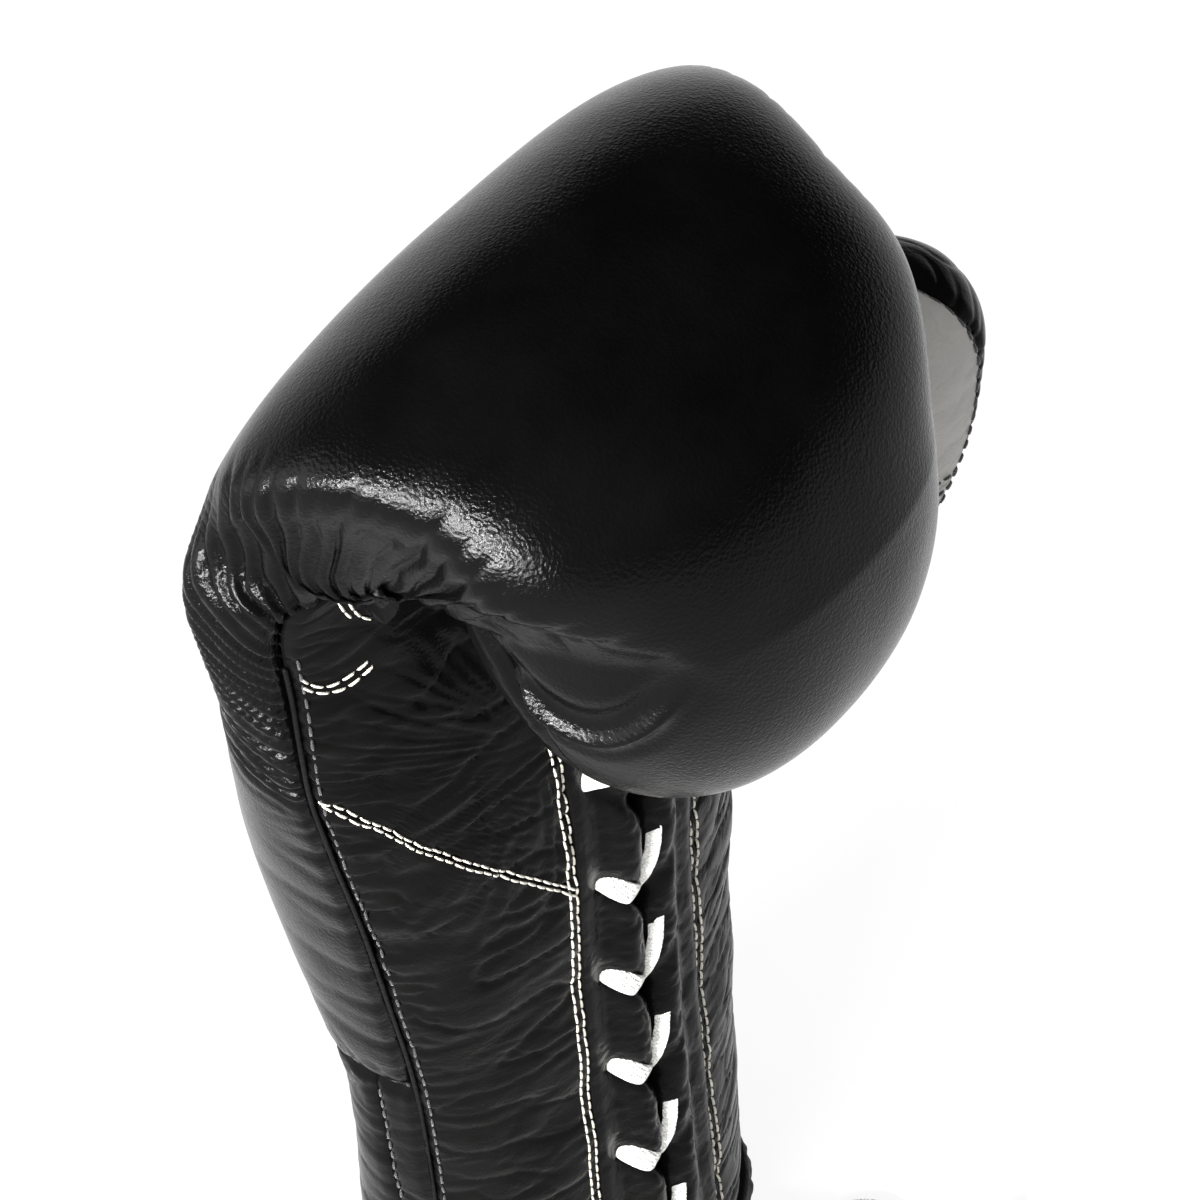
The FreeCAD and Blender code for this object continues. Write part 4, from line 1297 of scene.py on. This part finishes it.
@dataclass
class Trim:
    """The rim's binding, the side welts, the patch and the lining."""

    finishes: Finishes
    patch_low: float = 24.0
    patch_high: float = 86.0
    patch_edge: float = 27.0        # from the middle to either side
    patch_width: float = 56.0       # along the curved leather
    patch_inset: float = 3.2        # of its stitches

    def build(self) -> list[bpy.types.Object]:
        """Builds and dresses the trim."""
        return [self.binding(), *map(self.welt, Side), self.patch(), self.patch_stitching(),
                self.lining()]

    def binding(self) -> bpy.types.Object:
        """Leather folded over the padded rim and sewn through, open at the slot."""
        u = np.linspace(-math.pi / 2 + 0.062, 3 * math.pi / 2 - 0.062, 420)
        level = np.full(u.shape, 5.0)
        outer, inner = FORM.point(level, u), HOLLOW.point(level, u)
        out_way, in_way = FORM.normal(level, u), -HOLLOW.normal(level, u)
        out_way[:, 2] = in_way[:, 2] = 0.0
        profile = []
        for way, rise, z in ((0, 0.3, 9.2), (0, 1.15, 8.2), (0, 1.15, 7.2), (0, 1.7, 5.6),
                             (0, 1.6, 3.8), (0, 0.9, 1.9), (0, -0.7, 0.6), (0, -2.8, 0.05),
                             (1, -2.8, 0.05), (1, -0.7, 0.6), (1, 0.8, 2.0), (1, 1.2, 4.0),
                             (1, 1.2, 7.5), (1, 0.2, 9.0)):
            base, side = ((outer, out_way), (inner, in_way))[way]
            ring = base + unit(side) * rise
            ring[:, 2] = z
            profile.append(ring)
        rings = np.stack(profile, 1)
        wave = 0.22 * np.sin(u * 46.0) + 0.12 * np.sin(u * 81.0 + 1.0)
        rings[:, 3:6, :2] += (out_way * wave[:, None])[:, None, :2]
        piece = sweep("binding_leather", rings[:, ::-1])
        return dress(piece, self.finishes.welt, ("rim_binding",))

    def welt(self, side: Side) -> bpy.types.Object:
        """The thin welt sewn into the side seam."""
        top = 233.0 if side is Side.PINKY else 105.0
        s = np.arange(9.6, top, 1.0)
        u = side_seam(s)
        if side is Side.THUMB:
            u = math.pi - u
        path = FORM.point(s, u) - FORM.normal(s, u) * 1.35
        piece = sweep(f"welt_leather_{side.label}",
                      tube_grid(path, FORM.normal(s, u), oval(10, 0.5, 0.5)))
        return dress(piece, self.finishes.welt,
                     (f"side_welt_{side.label}",))

    def patch_panel(self) -> Panel:
        """The back of the cuff between the patch's side edges."""
        left, right = ((lambda s, x=x: FORM.turn_at_x(np.asarray(s, float), x, False))
                       for x in (self.patch_edge, -self.patch_edge))
        return Panel(left, right, cuff_relief)

    def patch(self) -> bpy.types.Object:
        """A plain leather patch on the back of the cuff."""
        panel = self.patch_panel()
        low, high, width = self.patch_low, self.patch_high, self.patch_width
        s = np.linspace(low, high, 64)[:, None]
        v = np.linspace(0, 1, 60)[None]
        edge = np.minimum(np.minimum(v, 1 - v) * width, np.minimum(s - low, high - s))
        lift = 0.35 + 0.9 * smooth_step(-0.2, 1.6, edge) - 0.35 * bell(edge - 3.2, 0.9)
        base = panel.surface(s, v, 0.0, False)
        way = FORM.normal(*np.broadcast_arrays(s, panel.turn(*np.broadcast_arrays(s, v))))
        lift = lift + 0.3 * SWELL(base / 14.0)
        piece = shell_object("patch_leather", base + way * lift[..., None], base - way * 0.5)
        return dress(piece, self.finishes.body, ("back_patch",))

    def patch_stitching(self) -> bpy.types.Object:
        """Pale stitches round the patch."""
        panel = self.patch_panel()
        stitches = Stitches(2.4, 0.8, 0.6)
        inset = self.patch_inset / self.patch_width
        low, high = self.patch_low + self.patch_inset, self.patch_high - self.patch_inset
        s, v = np.arange(low, high + 0.2, 0.5), np.linspace(inset, 1 - inset, 120)
        for rows, share in ((s, np.full(s.shape, inset)), (s, np.full(s.shape, 1 - inset)),
                            (np.full(v.shape, low), v), (np.full(v.shape, high), v)):
            points = panel.surface(rows, share, 1.15, False)
            stitches.line(points, FORM.normal(rows, panel.turn(rows, share)))
        return dress(stitches.piece("patch_stitching"), self.finishes.black_thread)

    def lining(self) -> bpy.types.Object:
        """The cloth lining, from the rim to the fingertips."""
        s = np.concatenate([np.arange(1.6, 380.0, 2.0),
                            HOLLOW.end - 0.02 - (HOLLOW.end - 381.0)
                            * (1 - np.linspace(0, 1, 24)) ** 1.8])[:, None]
        u = np.linspace(-math.pi / 2 + 0.08, 3 * math.pi / 2 - 0.08, 150)[None]
        s, u = np.broadcast_arrays(s, u)
        base, way = HOLLOW.point(s, u), HOLLOW.normal(s, u)
        ripple = 0.35 * SWELL(base / 15.0) + creases(base, FOLDS, (0.05, 0.05, 0.1), 0.3)
        outer = base + way * 0.9
        inner = base + way * (0.1 + np.minimum(ripple, 0.5))[..., None]
        piece = shell_object("lining_cloth", outer, inner)
        return dress(piece, self.finishes.lining, ("hand_lining",))


# ---------------------------------------------------------------- the thumb

LEATHER = 1.3


@dataclass
class Thumb:
    """The padded thumb, its pale inner panels and the strap that ties it to the fist."""

    finishes: Finishes
    line: tuple = ((33.0, -2.0, 124.0, 15.5), (46.0, -7.0, 143.0, 19.0), (60.0, -15.0, 165.0, 20.0),
                   (71.0, -23.0, 191.0, 20.0), (75.0, -27.0, 213.0, 18.5),
                   (74.5, -29.0, 225.0, 14.5))
    inward: tuple = (-0.723, -0.507, 0.469)
    rows: int = 190
    cap_rows: int = 56
    cap_reach: float = 17.8
    around: int = 150
    half_panel: float = 1.42        # half the turn that the inner panels cover
    split: float = 196.0            # height of the seam between them
    strap_taper: float = 0.48
    strap_turn: float = 0.0062      # metres
    strap_cut: float = 0.004

    def __post_init__(self) -> None:
        """Lists the thumb's sections."""
        table = np.array(self.line)
        self.knots = run_along(table[:, :3])
        self.table = table

    def rings(self, lift: float, smooth: bool = False) -> tuple[Array, Array]:
        """Rings of points of the thumb's face, drawn out by lift.

        Args: lift: in millimetres. smooth: leaves out the folds and the seams' grooves.
        Returns: points, and turns from the inner panel's middle.
        """
        last = self.knots[-2]
        straight = np.linspace(2.0, last, self.rows - self.cap_rows)
        cap = np.linspace(0, 1, self.cap_rows + 1)[1:]
        spine = through(self.knots, self.table, straight)
        tip = through(self.knots, self.table, np.array([last]))[0]
        along_tip = unit(self.table[-1, :3] - self.table[-2, :3])
        angle = cap * math.pi / 2 * 0.998
        travel = np.sin(angle) * self.cap_reach
        size = np.cos(angle) ** 0.92
        beyond = tip[None, :3] + along_tip * travel[:, None]
        path = np.concatenate([spine[:, :3], beyond])
        radius = np.concatenate([spine[:, 3], tip[3] * size])
        along = unit(np.gradient(path, axis=0))
        along[-self.cap_rows:] = along_tip
        side = np.array(self.inward)
        one = unit(side - along * (along @ side)[:, None])
        two = np.cross(along, one)
        turn = np.linspace(-math.pi, math.pi, self.around + 1)
        way = (one[:, None] * np.cos(turn)[None, :, None]
               + two[:, None] * np.sin(turn)[None, :, None])
        steps = np.linalg.norm(np.gradient(path, axis=0), axis=1)
        slope = np.gradient(radius) / np.maximum(steps, 1e-4)
        normal = unit(way - along[:, None] * slope[:, None, None])
        points = path[:, None] + way * radius[:, None, None]
        turns = np.broadcast_to(turn, points.shape[:2])
        runs = np.broadcast_to(run_along(points[:, 0])[:, None], points.shape[:2])
        if smooth:
            height = np.full(points.shape[:2], lift)
        else:
            around = radius[:, None] * np.abs(np.abs(turns) - self.half_panel)
            height = lift - 1.3 * bell(around, 1.3)
            outside = np.abs(turns) > self.half_panel
            gathers = Gathers(20.0, 150.0, 5.2, 1.0, 16.0, 1.3, 51, 0.1).relief(
                runs, around, np.ones(around.shape))
            height = height + gathers * np.where(outside, 1.0, 0.25)
            height = height + 0.5 * SWELL(points / 16.0) + creases(points, FOLDS,
                                                                   (0.06, 0.06, 0.12), 0.3)
            height = height * smooth_step(0.0, 5.0, runs.max() - runs)
        return points + normal * height[..., None], turns

    def build(self) -> list[bpy.types.Object]:
        """Builds and dresses the thumb."""
        face, turns = self.rings(0.0)
        back, _ = self.rings(-LEATHER, smooth=True)
        turn = turns[0]
        inner = np.where(np.abs(turn) <= self.half_panel)[0]
        low, high = inner[0], inner[-1]
        count = len(turn) - 1
        outer_columns = np.arange(high, low + count + 1) % count
        outer = shell_object("thumb_leather", face[:, outer_columns], back[:, outer_columns])
        split = int(np.argmin(np.abs(face[:, (low + high) // 2, 2] - self.split)))
        lower = shell_object("thumb_lower_panel", face[:split + 1, low:high + 1],
                             back[:split + 1, low:high + 1])
        upper = shell_object("thumb_upper_panel", face[split:, low:high + 1],
                             back[split:, low:high + 1])
        dress(outer, self.finishes.body,
              ("thumb_outer", "thumb_pad", "thumb_lining"), "")
        dress(lower, self.finishes.inner_thumb, ("thumb_inner_lower",), "")
        dress(upper, self.finishes.inner_thumb, ("thumb_inner_upper",), "")
        sewing = self.sewing(face, low, high, split)
        for piece in (outer, lower, upper, sewing):
            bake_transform(piece)
        return [outer, lower, upper, sewing, self.strap()]

    def sewing(self, face: Array, low: int, high: int, split: int) -> bpy.types.Object:
        """Black stitches along the thumb's seams."""
        stitches = Stitches(2.2, 1.0, 0.6)
        centre = face.mean(1, keepdims=True)
        ups = unit(face - centre)
        for column in (low + 2, high - 2):
            stitches.line(face[20:-4, column] + ups[20:-4, column] * 0.1, ups[20:-4, column])
        for row in (split - 2, split + 2):
            stitches.line(face[row, low + 1:high] + ups[row, low + 1:high] * 0.1,
                          ups[row, low + 1:high])
        return dress(stitches.piece("thumb_stitching"), self.finishes.black_thread,
                     body="")

    def strap(self) -> bpy.types.Object:
        """The short strap from the fist to the thumb."""
        low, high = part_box("thumb_strap")
        deselect_all()
        bpy.ops.mesh.primitive_cube_add(size=1, location=(low + high) / 2, scale=high - low)
        piece = bpy.context.object
        piece.name = piece.data.name = "strap_leather"
        bpy.ops.object.transform_apply(location=True, rotation=True, scale=True)
        bpy.ops.object.mode_set(mode="EDIT")
        bpy.ops.mesh.select_all(action="SELECT")
        bpy.ops.mesh.subdivide(number_cuts=7)
        bpy.ops.object.mode_set(mode="OBJECT")
        for vertex in piece.data.vertices:      # the far end narrows and turns into the thumb
            share = (vertex.co.x - low.x) / (high.x - low.x)
            vertex.co.z = low.z + (vertex.co.z - low.z) * (1 - self.strap_taper * share ** 2)
            vertex.co.y += self.strap_turn * share ** 2
            vertex.co.x -= self.strap_cut * share
        bevel = piece.modifiers.new("edge", "BEVEL")
        bevel.width, bevel.segments = 0.0006, 3
        bpy.ops.object.modifier_apply(modifier="edge")
        bpy.ops.object.shade_smooth()
        dress(piece, self.finishes.body, ("thumb_strap",), "")
        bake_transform(piece)
        return piece


# ---------------------------------------------------------------- studio

@dataclass
class Studio:
    """Pale sweep, soft light and the camera."""

    target: tuple = (1.5, -21.8, 208.5)
    azimuth: float = -49.292
    elevation: float = 47.563
    roll: float = 4.282
    distance: float = 829.7
    focal: float = 148.6

    def camera(self) -> None:
        """Adds the camera."""
        a, e, r = (math.radians(x) for x in (self.azimuth, self.elevation, self.roll))
        back = Vector((math.sin(a) * math.cos(e), -math.cos(a) * math.cos(e), math.sin(e)))
        right = Vector((math.cos(a), math.sin(a), 0.0))
        up = back.cross(right)
        across = right * math.cos(r) - up * math.sin(r)
        above = right * math.sin(r) + up * math.cos(r)
        data = bpy.data.cameras.new("camera")
        data.lens, data.sensor_width = self.focal, 36.0
        data.clip_start, data.clip_end = 0.01, 50.0
        camera = bpy.data.objects.new("camera", data)
        matrix = Matrix((across, above, back)).transposed().to_4x4()
        matrix.translation = (Vector(self.target) + back * self.distance) * MM
        camera.matrix_world = matrix
        bpy.context.scene.collection.objects.link(camera)
        bpy.context.scene.camera = camera

    def floor(self) -> None:
        """Adds the pale floor."""
        deselect_all()
        bpy.ops.mesh.primitive_plane_add(size=30, location=(0, 0, -0.0004))
        plane = bpy.context.object
        plane.name = "floor"
        graph = Graph("pale floor")
        for socket, value in (("Base Color", (0.08, 0.08, 0.08, 1)), ("Roughness", 0.9),
                              ("Specular IOR Level", 0.1), ("Emission Color", (1, 1, 1, 1)),
                              ("Emission Strength", 0.9)):
            graph.shader.inputs[socket].default_value = value
        plane.data.materials.append(graph.material)

    def area(self, name: str, place: Sequence[float], aim: Sequence[float], size: Sequence[float],
             power: float, glossy: bool = True) -> None:
        """Adds a soft box.

        Args: name, place, aim: in metres. size: width and height. power: watts.
        glossy: whether surfaces mirror it.
        """
        data = bpy.data.lights.new(name, "AREA")
        data.shape = "RECTANGLE"
        data.size, data.size_y = size
        data.energy = power
        lamp = bpy.data.objects.new(name, data)
        way = Vector(place) - Vector(aim)
        turned = way.to_track_quat("Z", "Y").to_matrix().to_4x4()
        lamp.matrix_world = Matrix.Translation(Vector(place)) @ turned
        lamp.visible_glossy = glossy
        bpy.context.scene.collection.objects.link(lamp)

    def world(self) -> None:
        """Adds the room: pale low down, dark overhead."""
        world = bpy.data.worlds.new("room")
        bpy.context.scene.world = world
        world.use_nodes = True
        tree = world.node_tree
        place = tree.nodes.new("ShaderNodeTexCoord")
        lean = tree.nodes.new("ShaderNodeVectorMath")
        lean.operation = "DOT_PRODUCT"
        lean.inputs[1].default_value = (0.13, -0.15, 1.0)
        ramp = tree.nodes.new("ShaderNodeValToRGB")
        tree.links.new(place.outputs["Generated"], lean.inputs[0])
        tree.links.new(lean.outputs["Value"], ramp.inputs["Fac"])
        ramp.color_ramp.interpolation = "EASE"
        low, high = ramp.color_ramp.elements
        low.position, low.color = 0.10, (0.9, 0.9, 0.9, 1)
        high.position, high.color = 0.34, (0.02, 0.02, 0.021, 1)
        tree.links.new(ramp.outputs["Color"], tree.nodes["Background"].inputs["Color"])

    def build(self) -> None:
        """Builds the studio."""
        self.floor()
        self.world()
        self.area("overhead", (0.0, 0.0, 2.2), (0, 0, 0), (2.4, 2.4), 34.0, False)
        self.area("fill", (-1.3, -1.2, 1.3), (0, 0, 0.15), (1.2, 1.2), 26.0, False)
        self.area("strip", (-1.40, -0.12, 0.78), (0, 0, 0.25), (0.8, 0.035), 85.0)
        self.area("window", (-1.00, 0.60, 0.62), (0, 0, 0.22), (1.0, 0.9), 9.0)
        bpy.context.scene.view_settings.view_transform = "Standard"


def finish_cad_pieces(finishes: Finishes) -> None:
    """A better finish for the one CAD solid that stays in sight."""
    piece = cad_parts["grip_bar"]
    piece = piece if isinstance(piece, bpy.types.Object) else bpy.data.objects[piece]
    for slot in piece.material_slots:
        slot.material = finishes.bar
    LOG.info("%s: kept from the frame", piece.name)


def main() -> None:
    """Builds the glove in order."""
    logging.basicConfig(level=logging.INFO, format="%(name)s: %(message)s")
    finishes = Finishes()
    studio = Studio()
    studio.camera()
    Bow(finishes).build()
    Hand(finishes).build()
    Sewing(finishes).build()
    Throat(finishes).build()
    Lacing(finishes).build()
    Trim(finishes).build()
    Thumb(finishes).build()
    finish_cad_pieces(finishes)
    studio.build()


if __name__ == "__main__":
    main()
